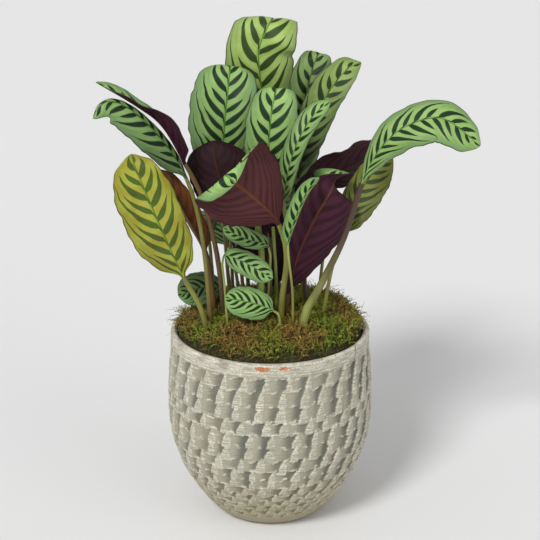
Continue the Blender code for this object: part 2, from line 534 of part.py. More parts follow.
def make_pot():
    lip = POT_WALL / 2
    lip_middle = POT_OUTER_PROFILE[-1][0] - lip
    lowest, highest = RIB_COURSES[-1][0], RIB_COURSES[0][1]
    profile = [(0.0, 0.0)]
    profile += [point for point in POT_OUTER_PROFILE if point[1] < lowest]
    profile += pressed_rows()
    profile += [point for point in POT_OUTER_PROFILE if point[1] > highest]
    profile += [(lip_middle + lip * math.cos(math.radians(angle)),
                 POT_HEIGHT - lip + lip * math.sin(math.radians(angle))) for angle in POT_LIP_ANGLES]
    profile += [(inner_radius(height), height) for height in POT_INNER_HEIGHTS]
    profile += [(POT_INNER_FOOT_RADIUS, POT_FLOOR), (0.0, POT_FLOOR)]
    finish = material("glazed_clay", (0.47, 0.45, 0.38), 0.55)
    return add_object("pot", turned_mesh("pot", profile, POT_SIDES), finish)


def tube_mesh(name, path, radii, sides):
    """A closed tube with level rings, for stalks that stand nearly upright."""
    tube = bmesh.new()
    angles = [2.0 * math.pi * k / sides for k in range(sides)]
    rings = []
    for point, radius in zip(path, radii):
        rings.append([tube.verts.new(Vector(point) + radius * Vector((math.cos(a), math.sin(a), 0.0)))
                      for a in angles])
    for low, high in zip(rings, rings[1:]):
        for k in range(sides):
            after = (k + 1) % sides
            tube.faces.new((low[k], low[after], high[after], high[k]))
    tube.faces.new(rings[0][::-1])
    tube.faces.new(rings[-1])
    bmesh.ops.recalc_face_normals(tube, faces=tube.faces)
    made = bpy.data.meshes.new(name)
    tube.to_mesh(made)
    tube.free()
    made.shade_smooth()
    made.set_sharp_from_angle(angle=math.radians(60))
    return made


def stalks_in_the_pot():
    """Name, middle line and radii of every stalk."""
    for name, spec in LEAVES.items():
        top, bottom = leaf_rings(spec, BLADE_ALONG, np.array(BLADE_ACROSS), STALK_SEGMENTS, BLADE_THICKNESS)
        path = (top + bottom).mean(axis=1)[:STALK_SEGMENTS + 1] / 2.0
        yield name, path, stalk_radius(spec, np.arange(len(path)) / STALK_SEGMENTS)
    for name, (route, foot_radius, top_radius) in CUT_STALKS.items():
        yield name, np.array(route), np.linspace(foot_radius, top_radius, len(route))


def stem_cutters():
    """Tubes a little wider than the stalks, kept only to bore their holes."""
    bores = bpy.data.collections.new("stem_bores")
    bpy.context.scene.collection.children.link(bores)
    for name, path, radii in stalks_in_the_pot():
        inside = int(np.sum(path[:, 2] < MOSS_CROWN_HEIGHT + HOLE_REACH_ABOVE_MOSS))
        path = path[:inside + 1]
        path[0] -= unit(path[1] - path[0]) * WALL_GAP
        wide = radii[:inside + 1] * BORE_CORNER_REACH + HOLE_CLEARANCE
        mesh = tube_mesh("bore_" + name, path, wide.tolist(), BORE_SIDES)
        cutter = bpy.data.objects.new("bore_" + name, mesh)
        cutter.hide_render = True
        cutter.display_type = "WIRE"
        bores.objects.link(cutter)
    return bores


def bore_for_stems(filling, bores):
    cut = filling.modifiers.new("stem_holes", "BOOLEAN")
    cut.operation = "DIFFERENCE"
    cut.operand_type = "COLLECTION"
    cut.collection = bores
    cut.solver = "EXACT"


def make_soil(bores):
    profile = [(0.0, POT_FLOOR + FIT_GAP), (SOIL_FOOT_RADIUS, POT_FLOOR + FIT_GAP)]
    profile += [(inner_radius(height) - WALL_GAP, height) for height in (*SOIL_HEIGHTS, SOIL_TOP)]
    profile += [(0.0, SOIL_TOP)]
    finish = material("potting_soil", (0.045, 0.032, 0.022), 0.95)
    soil = add_object("soil", turned_mesh("soil", profile, FILLING_SIDES), finish)
    bore_for_stems(soil, bores)
    return soil


def make_moss(bores):
    """A mat that fills the top of the pot and swells a little above its lip."""
    lumps = random.Random(MOSS_SEED)
    rim = inner_radius(MOSS_RIM_HEIGHT) - WALL_GAP
    underside = SOIL_TOP + FIT_GAP
    foot = inner_radius(SOIL_TOP) - WALL_GAP - FIT_GAP
    profile = [(0.0, underside), (foot, underside), (rim, MOSS_RIM_HEIGHT)]
    for share in MOSS_SHARES:
        swell = (1.0 - share ** 3.0) ** 0.5
        profile.append((rim * share, MOSS_EDGE_HEIGHT + (MOSS_CROWN_HEIGHT - MOSS_EDGE_HEIGHT) * swell))
    mesh = turned_mesh("moss", profile, FILLING_SIDES)
    for vertex in mesh.vertices:
        if vertex.co.z > MOSS_EDGE_HEIGHT + MOSS_LUMP:
            vertex.co.z += lumps.uniform(-MOSS_LUMP, MOSS_LUMP)
    moss = add_object("moss", mesh, material("moss", (0.16, 0.17, 0.03), 0.95))
    bore_for_stems(moss, bores)
    return moss


def make_leaves():
    finish = material("patterned_leaf", (0.22, 0.38, 0.14), 0.40)
    for name, spec in LEAVES.items():
        add_object(name, leaf_mesh(name, spec), finish)


def make_cut_stalks():
    finish = material("cut_stalk", (0.20, 0.28, 0.06), 0.50)
    for name, (route, foot_radius, top_radius) in CUT_STALKS.items():
        radii = np.linspace(foot_radius, top_radius, len(route)).tolist()
        add_object(name, tube_mesh(name, route, radii, CUT_STALK_SIDES), finish)


clear_scene()
bores = stem_cutters()
make_pot()
make_soil(bores)
make_moss(bores)
make_leaves()
make_cut_stalks()
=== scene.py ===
"""The looks of a potted calathea: a relief pot, a bed of moss and leaves on long stalks.

Metres in the finished meshes. The tables hold millimetres. The front of the plant faces -Y.
"""
import math
import random

import bpy
import numpy as np
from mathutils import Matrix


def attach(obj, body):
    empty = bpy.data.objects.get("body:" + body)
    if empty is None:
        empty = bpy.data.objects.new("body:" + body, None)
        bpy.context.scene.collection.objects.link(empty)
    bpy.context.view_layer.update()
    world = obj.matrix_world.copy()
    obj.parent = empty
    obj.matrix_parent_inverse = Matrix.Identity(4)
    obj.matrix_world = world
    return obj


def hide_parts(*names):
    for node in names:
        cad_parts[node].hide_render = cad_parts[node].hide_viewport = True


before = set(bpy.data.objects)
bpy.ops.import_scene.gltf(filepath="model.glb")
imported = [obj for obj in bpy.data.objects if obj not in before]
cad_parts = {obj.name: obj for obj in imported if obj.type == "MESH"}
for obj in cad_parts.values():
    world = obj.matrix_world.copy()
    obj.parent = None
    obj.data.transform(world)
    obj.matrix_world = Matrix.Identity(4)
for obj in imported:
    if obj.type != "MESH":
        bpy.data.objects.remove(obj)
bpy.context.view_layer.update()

# The pot is one hollow piece of red clay, turned and then pressed and cut all over in courses while
# it was wet. It is painted with a grey slip and rubbed with a pale wash, which stays on the ribs and
# seams that stand out. The lip is plain, and two chips in it show the bare clay.
MM = 0.001
POT_HEIGHT = 161.0
POT_OUTER = (
    (39.5, 0.0), (45.5, 2.6), (52.5, 9.4), (60.0, 19.0), (69.0, 33.0), (76.5, 48.0), (81.5, 64.0),
    (84.2, 80.0), (85.0, 96.5), (84.7, 112.0), (83.7, 128.0), (82.6, 142.0), (82.0, 153.0), (81.8, 158.5),
)
POT_WALL = 5.5
POT_FLOOR = 8.0
POT_INNER_HEIGHTS = (157.0, 153.0, 142.0, 112.0, 80.0, 48.0, 24.0)
POT_WIDEST = 85.0
POT_AROUND = 510
POT_ROW = 1.0
LIP_STEPS = 9
RIBS_AROUND = 30
# Each course of ribs: its shift as a share of a rib's spacing, half a rib's width, and its edges. A
# course with a third edge has two cuts to each rib, one over the other.
COURSES = (
    (0.12, 3.6, (138.5, 148.5)), (0.47, 4.2, (112.0, 124.5, 138.5)), (0.27, 3.8, (101.0, 112.0)),
    (0.92, 4.0, (78.5, 89.5, 101.0)), (0.42, 3.8, (67.5, 78.5)), (0.85, 3.7, (50.0, 58.8, 67.5)),
    (0.30, 3.3, (42.5, 50.0)), (0.80, 3.1, (35.5, 42.5)), (0.25, 2.9, (29.0, 35.5)),
    (0.75, 2.7, (23.0, 29.0)), (0.20, 2.5, (17.5, 23.0)), (0.70, 2.3, (12.5, 17.5)),
)
RIB_STRAY = 0.13
RIB_LEAN = 0.12
RIB_SEED = 60
HOLLOW_DEPTH = 1.9
SEAM_STANDS = 0.62
RIM_LINE = 151.5
RIM_LINES = ((152.2, 1.0), (154.6, 0.45), (157.0, 0.8))
# Where the lip lost its slip: millimetres to the right, height, and half the width and the height
CHIPS = ((-5.3, 157.2, 8.0, 2.0), (11.7, 157.4, 4.6, 1.6))
CRACK_TURN = 56.0


def smooth_step(low, high, value):
    share = np.clip((np.asarray(value, float) - low) / (high - low), 0.0, 1.0)
    return share * share * (3.0 - 2.0 * share)


def smooth_route(points, steps):
    """Dense points on a smooth curve through the given ones, with the length run at each."""
    points = np.asarray(points, float)
    padded = np.vstack([2.0 * points[0] - points[1], points, 2.0 * points[-1] - points[-2]])
    dense = []
    for index in range(len(points) - 1):
        before, start, end, after = padded[index:index + 4]
        for step in range(steps):
            t = step / steps
            dense.append(0.5 * (2.0 * start + (end - before) * t
                                + (2.0 * before - 5.0 * start + 4.0 * end - after) * t ** 2
                                + (3.0 * start - before - 3.0 * end + after) * t ** 3))
    dense.append(points[-1])
    dense = np.array(dense)
    run = np.concatenate([[0.0], np.cumsum(np.linalg.norm(np.diff(dense, axis=0), axis=1))])
    return dense, run


def cloud(places, scale, seed):
    """Soft random waves from -1 to 1 over places in millimetres, one value for each."""
    draw = np.random.default_rng(seed)
    total = np.zeros(len(places))
    for _ in range(7):
        way = draw.normal(size=3)
        way /= np.linalg.norm(way)
        pitch = scale * draw.uniform(0.6, 1.7)
        total += np.sin(places @ way * 2.0 * math.pi / pitch + draw.uniform(0.0, 6.28))
    return total / 3.2


class Finish:
    """A material, and short names for the nodes that make it."""

    def __init__(self, name, roughness):
        self.material = bpy.data.materials.new(name)
        self.material.use_nodes = True
        self.tree = self.material.node_tree
        self.shader = self.tree.nodes["Principled BSDF"]
        self.shader.inputs["Roughness"].default_value = roughness

    def put(self, socket, value):
        if isinstance(value, bpy.types.NodeSocket):
            self.tree.links.new(value, socket)
        elif isinstance(value, tuple) and len(value) == 3 and len(socket.default_value) == 4:
            socket.default_value = (*value, 1.0)
        else:
            socket.default_value = value

    def math(self, operation, *values):
        node = self.tree.nodes.new("ShaderNodeMath")
        node.operation = operation
        for socket, value in zip(node.inputs, values):
            self.put(socket, value)
        return node.outputs[0]

    def soft(self, value, low, high, start=0.0, end=1.0):
        node = self.tree.nodes.new("ShaderNodeMapRange")
        node.interpolation_type = "SMOOTHSTEP"
        for socket, given in zip(node.inputs, (value, low, high, start, end)):
            self.put(socket, given)
        return node.outputs[0]

    def mix(self, share, first, second, blend="MIX"):
        node = self.tree.nodes.new("ShaderNodeMix")
        node.data_type = "RGBA"
        node.blend_type = blend
        self.put(node.inputs[0], share)
        self.put(node.inputs[6], first)
        self.put(node.inputs[7], second)
        return node.outputs[2]

    def place(self, stretch=(1.0, 1.0, 1.0)):
        at = self.tree.nodes.new("ShaderNodeTexCoord").outputs["Object"]
        node = self.tree.nodes.new("ShaderNodeMapping")
        self.put(node.inputs["Vector"], at)
        self.put(node.inputs["Scale"], stretch)
        return node.outputs[0]

    def noise(self, scale, detail=3.0, where=None):
        node = self.tree.nodes.new("ShaderNodeTexNoise")
        self.put(node.inputs["Vector"], where or self.place())
        self.put(node.inputs["Scale"], scale)
        self.put(node.inputs["Detail"], detail)
        return node.outputs[0]

    def parts_of(self, name, kind="attribute"):
        """Three numbers kept on the mesh, from a colour attribute or a UV map."""
        if kind == "map":
            node = self.tree.nodes.new("ShaderNodeUVMap")
            node.uv_map = name
            value = node.outputs[0]
        else:
            node = self.tree.nodes.new("ShaderNodeAttribute")
            node.attribute_name = name
            value = node.outputs["Vector"]
        split = self.tree.nodes.new("ShaderNodeSeparateXYZ")
        self.put(split.inputs[0], value)
        return split.outputs[0], split.outputs[1], split.outputs[2]

    def colour_of(self, name):
        node = self.tree.nodes.new("ShaderNodeAttribute")
        node.attribute_name = name
        return node.outputs["Color"]

    def colour(self, value):
        self.put(self.shader.inputs["Base Color"], value)

    def bump(self, height, depth, strength=1.0):
        node = self.tree.nodes.new("ShaderNodeBump")
        self.put(node.inputs["Height"], height)
        self.put(node.inputs["Distance"], depth)
        self.put(node.inputs["Strength"], strength)
        self.put(self.shader.inputs["Normal"], node.outputs[0])


def keep(piece, name, node):
    """Name a finished piece, hang it under the root and hide the solid it stands for."""
    piece.name = name
    piece.data.name = name
    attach(piece, "root")
    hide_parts(node)


def give_colours(mesh, name, values):
    """Keep three numbers on each corner point of a mesh, under a name that its material reads."""
    layer = mesh.attributes.new(name, "FLOAT_COLOR", "POINT")
    layer.data.foreach_set("color", np.column_stack([values, np.ones(len(values))]).ravel())


def pot_outline():
    """Radius and height from the middle of the foot, up the outside, over the lip and down inside."""
    dense, run = smooth_route(POT_OUTER, 24)
    lengths = np.linspace(0.0, run[-1], int(run[-1] / POT_ROW))
    outer = np.stack([np.interp(lengths, run, dense[:, axis]) for axis in range(2)], -1)
    lip = POT_WALL / 2.0
    angles = np.radians(np.linspace(15.0, 165.0, LIP_STEPS))
    middle = POT_OUTER[-1][0] - lip
    over = np.stack([middle + lip * np.cos(angles), POT_HEIGHT - lip + lip * np.sin(angles)], -1)
    radii, heights = zip(*POT_OUTER)
    inner = [(float(np.interp(height, heights, radii)) - POT_WALL, height) for height in POT_INNER_HEIGHTS]
    return np.vstack([[(0.02, 0.0), (20.0, 0.0)], outer, over, inner, [(38.0, POT_FLOOR), (0.02, POT_FLOOR)]])


def pressed_pattern(turn, height, radius):
    """How far the wall is sunk, in millimetres, how much pale wash it holds and how deep its hollows are."""
    spots = np.column_stack([turn * POT_WIDEST, height, np.zeros_like(turn)])
    ragged = cloud(spots, 5.0, 31)
    fine = cloud(spots, 1.9, 32)
    ribs = np.zeros_like(turn)
    brim = np.zeros_like(turn)
    seams = np.zeros_like(turn)
    depth = np.zeros_like(turn)
    for course, (shift, wide, edges) in enumerate(COURSES):
        draw = random.Random(RIB_SEED + course)
        stray = np.array([draw.uniform(-RIB_STRAY, RIB_STRAY) for _ in range(RIBS_AROUND)])
        vary = np.random.default_rng(RIB_SEED + course)
        spacing = 2.0 * math.pi * radius / RIBS_AROUND
        middle = (edges[0] + edges[-1]) / 2.0
        phase = turn / (2.0 * math.pi) * RIBS_AROUND + shift - RIB_LEAN * (height - middle) / spacing
        left = np.floor(phase).astype(int)
        left = np.where(phase - left < stray[left % RIBS_AROUND], left - 1, left)
        left = np.where(phase - left - 1 >= stray[(left + 1) % RIBS_AROUND], left + 1, left)
        from_left = (phase - left - stray[left % RIBS_AROUND]) * spacing
        to_right = (left + 1 + stray[(left + 1) % RIBS_AROUND] - phase) * spacing
        for part, (low, high) in enumerate(zip(edges, edges[1:])):
            width = wide * vary.uniform(0.62, 1.0, RIBS_AROUND)
            lift = vary.uniform(-1.2, 1.2, RIBS_AROUND)
            tall = vary.uniform(1.08, 1.45, RIBS_AROUND) * (high - low) / 2.0
            fade = vary.uniform(0.55, 1.0, RIBS_AROUND)
            inside = np.full_like(turn, -9.0)
            for rib, beside in ((left % RIBS_AROUND, from_left), ((left + 1) % RIBS_AROUND, -to_right)):
                up = (height - (low + high) / 2.0 - lift[rib]) / tall[rib]
                pointed = np.clip((1.0 - up) / 1.15, 0.0, 1.0) ** 0.75 * (1.0 - 0.10 * up)
                footed = smooth_step(-1.0, -0.90, up)
                reach = width[rib] * pointed * footed + 0.20 * ragged + 0.16 * fine - np.abs(beside)
                inside = np.maximum(inside, np.where(np.abs(up) < 1.0, reach, -9.0))
            ribs = np.maximum(ribs, smooth_step(-0.35, 0.55, inside))
            brim = np.maximum(brim, smooth_step(-0.3, 0.2, inside) * (1.0 - smooth_step(0.5, 1.3, inside)))
            here = (height >= low) & (height < high)
            across = np.clip((from_left - 0.8 * wide) / np.maximum(from_left + to_right - 1.6 * wide, 1.0), 0.0, 1.0)
            hollow = smooth_step(-0.1, 1.0, across) * fade[(left + 1) % RIBS_AROUND]
            depth = np.where(here, 0.12 + 0.88 * hollow, depth)
            for edge in (low, high):
                inner = edge not in (edges[0], edges[-1])
                bulge = np.sin(math.pi * across)
                thick = (-1.4 + 2.6 * bulge ** 2) if inner else (0.15 + 1.25 * bulge)
                line = edge + 0.7 * ragged + 1.2 * np.sin(2.0 * math.pi * phase + 2.1 * edge)
                ridge = smooth_step(-0.3, 0.5, thick + 0.45 * fine - np.abs(height - line))
                seams = np.maximum(seams, np.where(here, ridge, 0.0))
    teeth = np.zeros_like(turn)
    keen = np.random.default_rng(RIB_SEED + 40).uniform(0.2, 1.0, RIBS_AROUND)
    phase = turn / (2.0 * math.pi) * RIBS_AROUND + COURSES[0][0] + 0.5
    number = np.floor(phase).astype(int) % RIBS_AROUND
    from_middle = np.abs(phase - np.floor(phase) - 0.5) * 2.0 * math.pi * radius / RIBS_AROUND
    narrowing = 3.4 * keen[number] * (1.0 - np.clip((height - 146.5) / 6.0, 0.0, 1.0))
    teeth = smooth_step(-0.3, 0.4, narrowing - from_middle) * smooth_step(146.2, 147.0, height)
    ribs = np.maximum(ribs, teeth)
    brim = np.maximum(brim, 0.8 * teeth)
    band = smooth_step(RIM_LINE - 1.6, RIM_LINE - 0.2, height + 0.5 * ragged)
    foot = 1.0 - smooth_step(8.0, 46.0, height)
    strength = (1.0 - band) * (1.0 - 0.5 * foot) * smooth_step(3.0, 11.0, height)
    raised = np.maximum(ribs, SEAM_STANDS * seams)
    sunk = strength * HOLLOW_DEPTH * (0.25 + 0.75 * depth) * (1.0 - raised)
    scored = np.zeros_like(height)
    for line, deep in RIM_LINES:
        scored = np.maximum(scored, deep * np.exp(-((height - line + 0.25 * ragged) / 0.42) ** 2))
    sunk = sunk + 0.55 * scored
    wash = np.maximum(0.52 * ribs + 0.42 * brim, 0.80 * seams)
    wash = np.maximum(wash, 0.24 * (1.0 - depth)) * (1.0 - band) + (0.82 - 0.5 * scored) * band
    return sunk, wash * (1.0 - 0.25 * foot), depth * (1.0 - raised) * (1.0 - band)


outline_points = pot_outline()
bpy.ops.object.select_all(action="DESELECT")
bpy.ops.mesh.primitive_circle_add(vertices=len(outline_points), radius=1.0)
pot = bpy.context.object
bpy.ops.object.mode_set(mode="EDIT")
bpy.ops.mesh.select_all(action="SELECT")
bpy.ops.object.mode_set(mode="OBJECT")
for point, (radius, height) in zip(pot.data.vertices, outline_points):
    point.co = (radius * MM, 0.0, height * MM)
pot.data.edges[len(outline_points) - 1].select = True
bpy.ops.object.mode_set(mode="EDIT")
bpy.ops.mesh.select_all(action="SELECT")
bpy.ops.mesh.spin(steps=POT_AROUND, angle=2.0 * math.pi, center=(0, 0, 0), axis=(0, 0, 1))
bpy.ops.mesh.remove_doubles(threshold=0.00004)
bpy.ops.mesh.normals_make_consistent(inside=False)
bpy.ops.object.mode_set(mode="OBJECT")

count = len(pot.data.vertices)
places = np.empty(count * 3)
pot.data.vertices.foreach_get("co", places)
places = places.reshape(-1, 3) / MM
round_place = np.hypot(places[:, 0], places[:, 1])
turn = np.arctan2(places[:, 0], -places[:, 1]) % (2.0 * math.pi)
wall_heights = [point[1] for point in POT_OUTER]
wall_radii = [point[0] for point in POT_OUTER]
outside = round_place > np.interp(places[:, 2], wall_heights, wall_radii) - POT_WALL * 0.5
sunk, wash, depth = pressed_pattern(turn, places[:, 2], np.maximum(round_place, 30.0))
sunk = sunk - 0.14 * cloud(places, 9.0, 3) - 0.08 * cloud(places, 3.0, 4)
above_foot = smooth_step(1.0, 5.0, places[:, 2])
on_lip = smooth_step(POT_HEIGHT - 2.5, POT_HEIGHT - 1.0, places[:, 2])
sunk = np.where(outside, sunk * above_foot * (1.0 - 0.7 * on_lip), 0.0)
chipped = np.zeros(count)
for across, height, wide, tall in CHIPS:
    away = np.hypot((places[:, 0] - across) / wide, (places[:, 2] - height) / tall)
    away = away + 0.22 * cloud(places, 6.0, 8) + 0.14 * cloud(places, 2.4, 9)
    chip = (1.0 - smooth_step(0.8, 1.0, away)) * outside * (places[:, 1] < 0.0)
    chipped = np.maximum(chipped, chip)
crack_at = math.radians(CRACK_TURN) + 0.010 * np.sin(places[:, 2] * 1.1) + 0.004 * (places[:, 2] - 152.0)
crack = np.exp(-((turn - crack_at) * round_place / 0.55) ** 2) * smooth_step(149.0, 151.0, places[:, 2])
sunk = sunk + 0.5 * chipped + 0.6 * crack
wash = np.where(outside, wash, 0.72)
places[:, :2] *= (1.0 - sunk / np.maximum(round_place, 1.0))[:, None]
pot.data.vertices.foreach_set("co", (places * MM).ravel())
# The second number under wash is the depth of the hollows; the material uses it for painted shade in their deep ends.
give_colours(pot.data, "wash", np.column_stack([wash, np.where(outside, depth, 0.2), places[:, 2] / POT_HEIGHT]))
give_colours(pot.data, "wear", np.column_stack([chipped, crack, np.where(outside, 0.0, 1.0)]))
bpy.ops.object.shade_smooth()

slip = Finish("washed_clay", 0.68)
held, hollow_depth_for_shade, up_wall = slip.parts_of("wash")
bare, split, within = slip.parts_of("wear")
patches = slip.noise(26.0, 4.0)
grain = slip.noise(1100.0, 3.0)
brushed = slip.noise(260.0, 4.0, slip.place((0.35, 0.35, 4.5)))
speck = slip.noise(520.0, 5.0)
rubbed = slip.math("ADD", held, slip.math("MULTIPLY", slip.math("SUBTRACT", brushed, 0.5), 0.75))
rubbed = slip.math("ADD", rubbed, slip.math("MULTIPLY", slip.math("SUBTRACT", patches, 0.5), 0.55))
rubbed = slip.math("ADD", rubbed, slip.math("MULTIPLY", slip.math("SUBTRACT", speck, 0.5), 0.45))
rubbed = slip.soft(rubbed, 0.10, 0.95)
# The hollows hold the grey slip; their deep ends are painted darker as painted shade in the recesses.
hollow = slip.mix(slip.soft(hollow_depth_for_shade, 0.20, 0.90), (0.400, 0.385, 0.295), (0.135, 0.140, 0.112))
hollow = slip.mix(slip.soft(patches, 0.35, 0.7, 0.0, 0.40), hollow, (0.34, 0.30, 0.20))
lined = slip.math("MULTIPLY", slip.math("ADD", grain, brushed), 0.5)
raised = slip.mix(slip.soft(lined, 0.36, 0.62), (0.36, 0.335, 0.25), (0.80, 0.77, 0.65))
body = slip.mix(rubbed, hollow, raised)
low_down = slip.math("ADD", up_wall, slip.math("MULTIPLY", slip.math("SUBTRACT", patches, 0.5), 0.35))
body = slip.mix(slip.soft(low_down, 0.08, 0.42, 0.62, 0.0), body, slip.mix(0.6, body, (0.34, 0.27, 0.11)))
stains = slip.math("MULTIPLY", slip.soft(slip.noise(75.0, 5.0), 0.50, 0.72), slip.soft(up_wall, 0.93, 0.99))
body = slip.mix(slip.math("MULTIPLY", stains, 0.55), body, (0.19, 0.155, 0.105))
body = slip.mix(slip.math("MULTIPLY", within, 0.45), body, (0.16, 0.13, 0.09))
terracotta = slip.mix(slip.soft(speck, 0.35, 0.65), (0.42, 0.13, 0.045), (0.66, 0.30, 0.15))
body = slip.mix(slip.soft(bare, 0.35, 0.65), body, terracotta)
body = slip.mix(slip.soft(split, 0.25, 0.8, 0.0, 0.9), body, (0.03, 0.025, 0.02))
slip.colour(body)
slip.bump(slip.math("ADD", grain, slip.math("MULTIPLY", brushed, 2.0)), 0.0005, 0.9)
pot.data.materials.append(slip.material)
keep(pot, "pot_wall", "pot")

# The soil is dark potting mix of bark and peat. It fills the pot under the moss and holds the feet
# of the stalks, so it keeps its solid from the frame and only gets a crumbly finish.
crumbs = Finish("potting_mix", 0.95)
crumb = crumbs.noise(420.0, 6.0)
crumbs.colour(crumbs.mix(crumbs.soft(crumb, 0.35, 0.7), (0.010, 0.007, 0.005), (0.075, 0.048, 0.028)))
crumbs.bump(crumb, 0.0015, 1.0)
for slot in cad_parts["soil"].material_slots:
    slot.material = crumbs.material

# The moss is a living mat laid over the soil. Its bed is the dark tangle underneath, and hundreds of
# branched sprigs stand and curl out of it, green where they are fresh and golden brown where dry.
MOSS_REACH = 75.5
MOSS_EDGE = 160.0
MOSS_CROWN = 178.0
MOSS_HEAP = 6.0
BED_RINGS = 40
BED_AROUND = 160
SPRIG_LEAFLETS = 12
SPRIG_STEPS = 4
SPRIGS_IN_PIECE = 2100
MOSS_PIECES = 3
# Strands that hang over or stand out: where round the pot in degrees from the front, over how wide
# a stretch, how many, how far they lean outwards, and how dry they are
STRAYS = ((-80, 22, 26, 0.9, 0.7), (-35, 20, 8, 0.6, 0.8), (35, 22, 10, 0.6, 0.6), (84, 18, 26, 0.7, 0.45),
          (140, 30, 12, 0.6, 0.5), (200, 40, 14, 0.6, 0.5))


def moss_height(across, deep):
    """Height of the moss bed, in millimetres: a low dome with lumps, a little higher at the back right."""
    away = np.clip(np.hypot(across, deep) / MOSS_REACH, 0.0, 1.0)
    swell = np.sqrt(1.0 - away ** 3.0)
    spots = np.column_stack([across, deep, np.zeros_like(across)])
    lumps = 2.2 * cloud(spots, 26.0, 5) + 1.2 * cloud(spots, 9.0, 6)
    heaped = MOSS_HEAP * np.exp(-((across - 44.0) ** 2 + (deep - 18.0) ** 2) / (2.0 * 17.0 ** 2)) * swell
    return MOSS_EDGE + (MOSS_CROWN - MOSS_EDGE) * swell + lumps * (1.0 - 0.5 * away) + heaped


bpy.ops.object.select_all(action="DESELECT")
bpy.ops.mesh.primitive_circle_add(vertices=BED_AROUND, radius=MOSS_REACH * MM, fill_type="NGON")
bed = bpy.context.object
bpy.ops.object.mode_set(mode="EDIT")
bpy.ops.mesh.select_all(action="SELECT")
bpy.ops.mesh.extrude_region_move(TRANSFORM_OT_translate={"value": (0.0, 0.0, 0.016)})
for ring in range(BED_RINGS):
    bpy.ops.mesh.inset(thickness=MOSS_REACH * MM / (BED_RINGS + 1.5))
bpy.ops.mesh.poke()
bpy.ops.object.mode_set(mode="OBJECT")
count = len(bed.data.vertices)
places = np.empty(count * 3)
bed.data.vertices.foreach_get("co", places)
places = places.reshape(-1, 3) / MM
on_top = places[:, 2] > 8.0
rough = 0.8 * cloud(places * (1.0, 1.0, 0.0), 4.0, 9)
tops = moss_height(places[:, 0], places[:, 1]) - 2.5 + rough
places[:, 2] = np.where(on_top, tops, 141.0)
places[~on_top, :2] *= 0.995
bed.data.vertices.foreach_set("co", (places * MM).ravel())
bpy.ops.object.mode_set(mode="EDIT")
bpy.ops.mesh.select_all(action="SELECT")
bpy.ops.mesh.normals_make_consistent(inside=False)
bpy.ops.object.mode_set(mode="OBJECT")
bpy.ops.object.shade_smooth()
tangle = Finish("moss_bed", 0.95)
fibres = tangle.noise(520.0, 6.0)
dark = tangle.mix(tangle.noise(60.0), (0.012, 0.014, 0.004), (0.045, 0.032, 0.008))
tangle.colour(tangle.mix(tangle.soft(fibres, 0.45, 0.75), dark, (0.11, 0.10, 0.02)))
tangle.bump(fibres, 0.002, 1.0)
bed.data.materials.append(tangle.material)
keep(bed, "moss_bed", "moss")


def sprig(draw, root, way, length, leaflet):
    """Corner points and faces of one sprig: a thin bent stem with pointed leaflets along it."""
    side = np.cross(way, draw.normal(size=3))
    side /= np.linalg.norm(side)
    steps = np.linspace(0.0, 1.0, SPRIG_STEPS + 1)[:, None]
    curl = draw.uniform(-0.9, 0.9) * length
    stem = root + way * length * steps + side * curl * steps ** 2 - np.array([0.0, 0.0, 0.25 * length]) * steps ** 3
    across = np.cross(way, side)
    thick = 0.22 * (1.0 - 0.6 * steps)
    corners = [stem + thick * (side * math.cos(a) + across * math.sin(a)) for a in (0.0, 2.1, 4.2)]
    points = np.concatenate(corners)
    rows = SPRIG_STEPS + 1
    faces = [(k * rows + i, k * rows + i + 1, (k + 1) % 3 * rows + i + 1, (k + 1) % 3 * rows + i)
             for k in range(3) for i in range(SPRIG_STEPS)]
    tip_points = []
    for number in range(SPRIG_LEAFLETS):
        share = (number + 1.0) / (SPRIG_LEAFLETS + 0.5)
        at = np.array([np.interp(share, steps[:, 0], stem[:, axis]) for axis in range(3)])
        angle = number * 2.4 + draw.uniform(-0.4, 0.4)
        out = side * math.cos(angle) + across * math.sin(angle)
        reach = leaflet * (1.15 - 0.6 * share) * draw.uniform(0.75, 1.2)
        tip = at + (out * 0.8 + way * 0.6) * reach
        flat = np.cross(out, way) * reach * 0.27
        first = len(points) + len(tip_points) * 1
        tip_points += [at + flat, at - flat, at + way * reach * 0.25, tip]
        faces += [(first, first + 1, first + 3), (first + 1, first + 2, first + 3),
                  (first + 2, first, first + 3), (first, first + 2, first + 1)]
    return np.vstack([points, tip_points]), faces


def scattered(draw):
    """Root, way, length and dryness of the sprigs that cover the bed, each leaning its own way."""
    for _ in range(SPRIGS_IN_PIECE):
        away = MOSS_REACH * draw.uniform(0.0, 1.0) ** 0.47 * 0.985
        turn_at = draw.uniform(0.0, 2.0 * math.pi)
        across, deep = away * math.cos(turn_at), away * math.sin(turn_at)
        height = float(moss_height(np.array([across]), np.array([deep]))[0]) - 2.5
        rim = max(0.0, away / MOSS_REACH - 0.80) * 5.0
        lean = np.array([math.cos(turn_at), math.sin(turn_at), 0.0]) * (0.15 - 0.5 * rim)
        way = draw.normal(size=3) * (0.65, 0.65, 0.25) + (0.0, 0.0, 0.75) + lean
        spot = np.array([[across, deep, 0.0]])
        dry = 0.5 + 0.38 * cloud(spot, 48.0, 12)[0] + 0.24 * cloud(spot, 15.0, 13)[0] + draw.uniform(-0.22, 0.22)
        yield np.array([across, deep, height]), way, draw.uniform(5.5, 12.0), dry


def strays(draw):
    """The same for the loose strands at the rim."""
    for middle, stretch, many, outward, dryness in STRAYS:
        for _ in range(many):
            turn_at = math.radians(middle + draw.uniform(-stretch, stretch))
            out = np.array([math.sin(turn_at), -math.cos(turn_at), 0.0])
            root = out * draw.uniform(66.0, 73.0)
            root[2] = float(moss_height(root[:1], root[1:2])[0]) - 1.0
            way = out * outward + (0.0, 0.0, 0.9) + draw.normal(size=3) * 0.4
            yield root, way, draw.uniform(9.0, 17.0), dryness + draw.uniform(-0.3, 0.3)


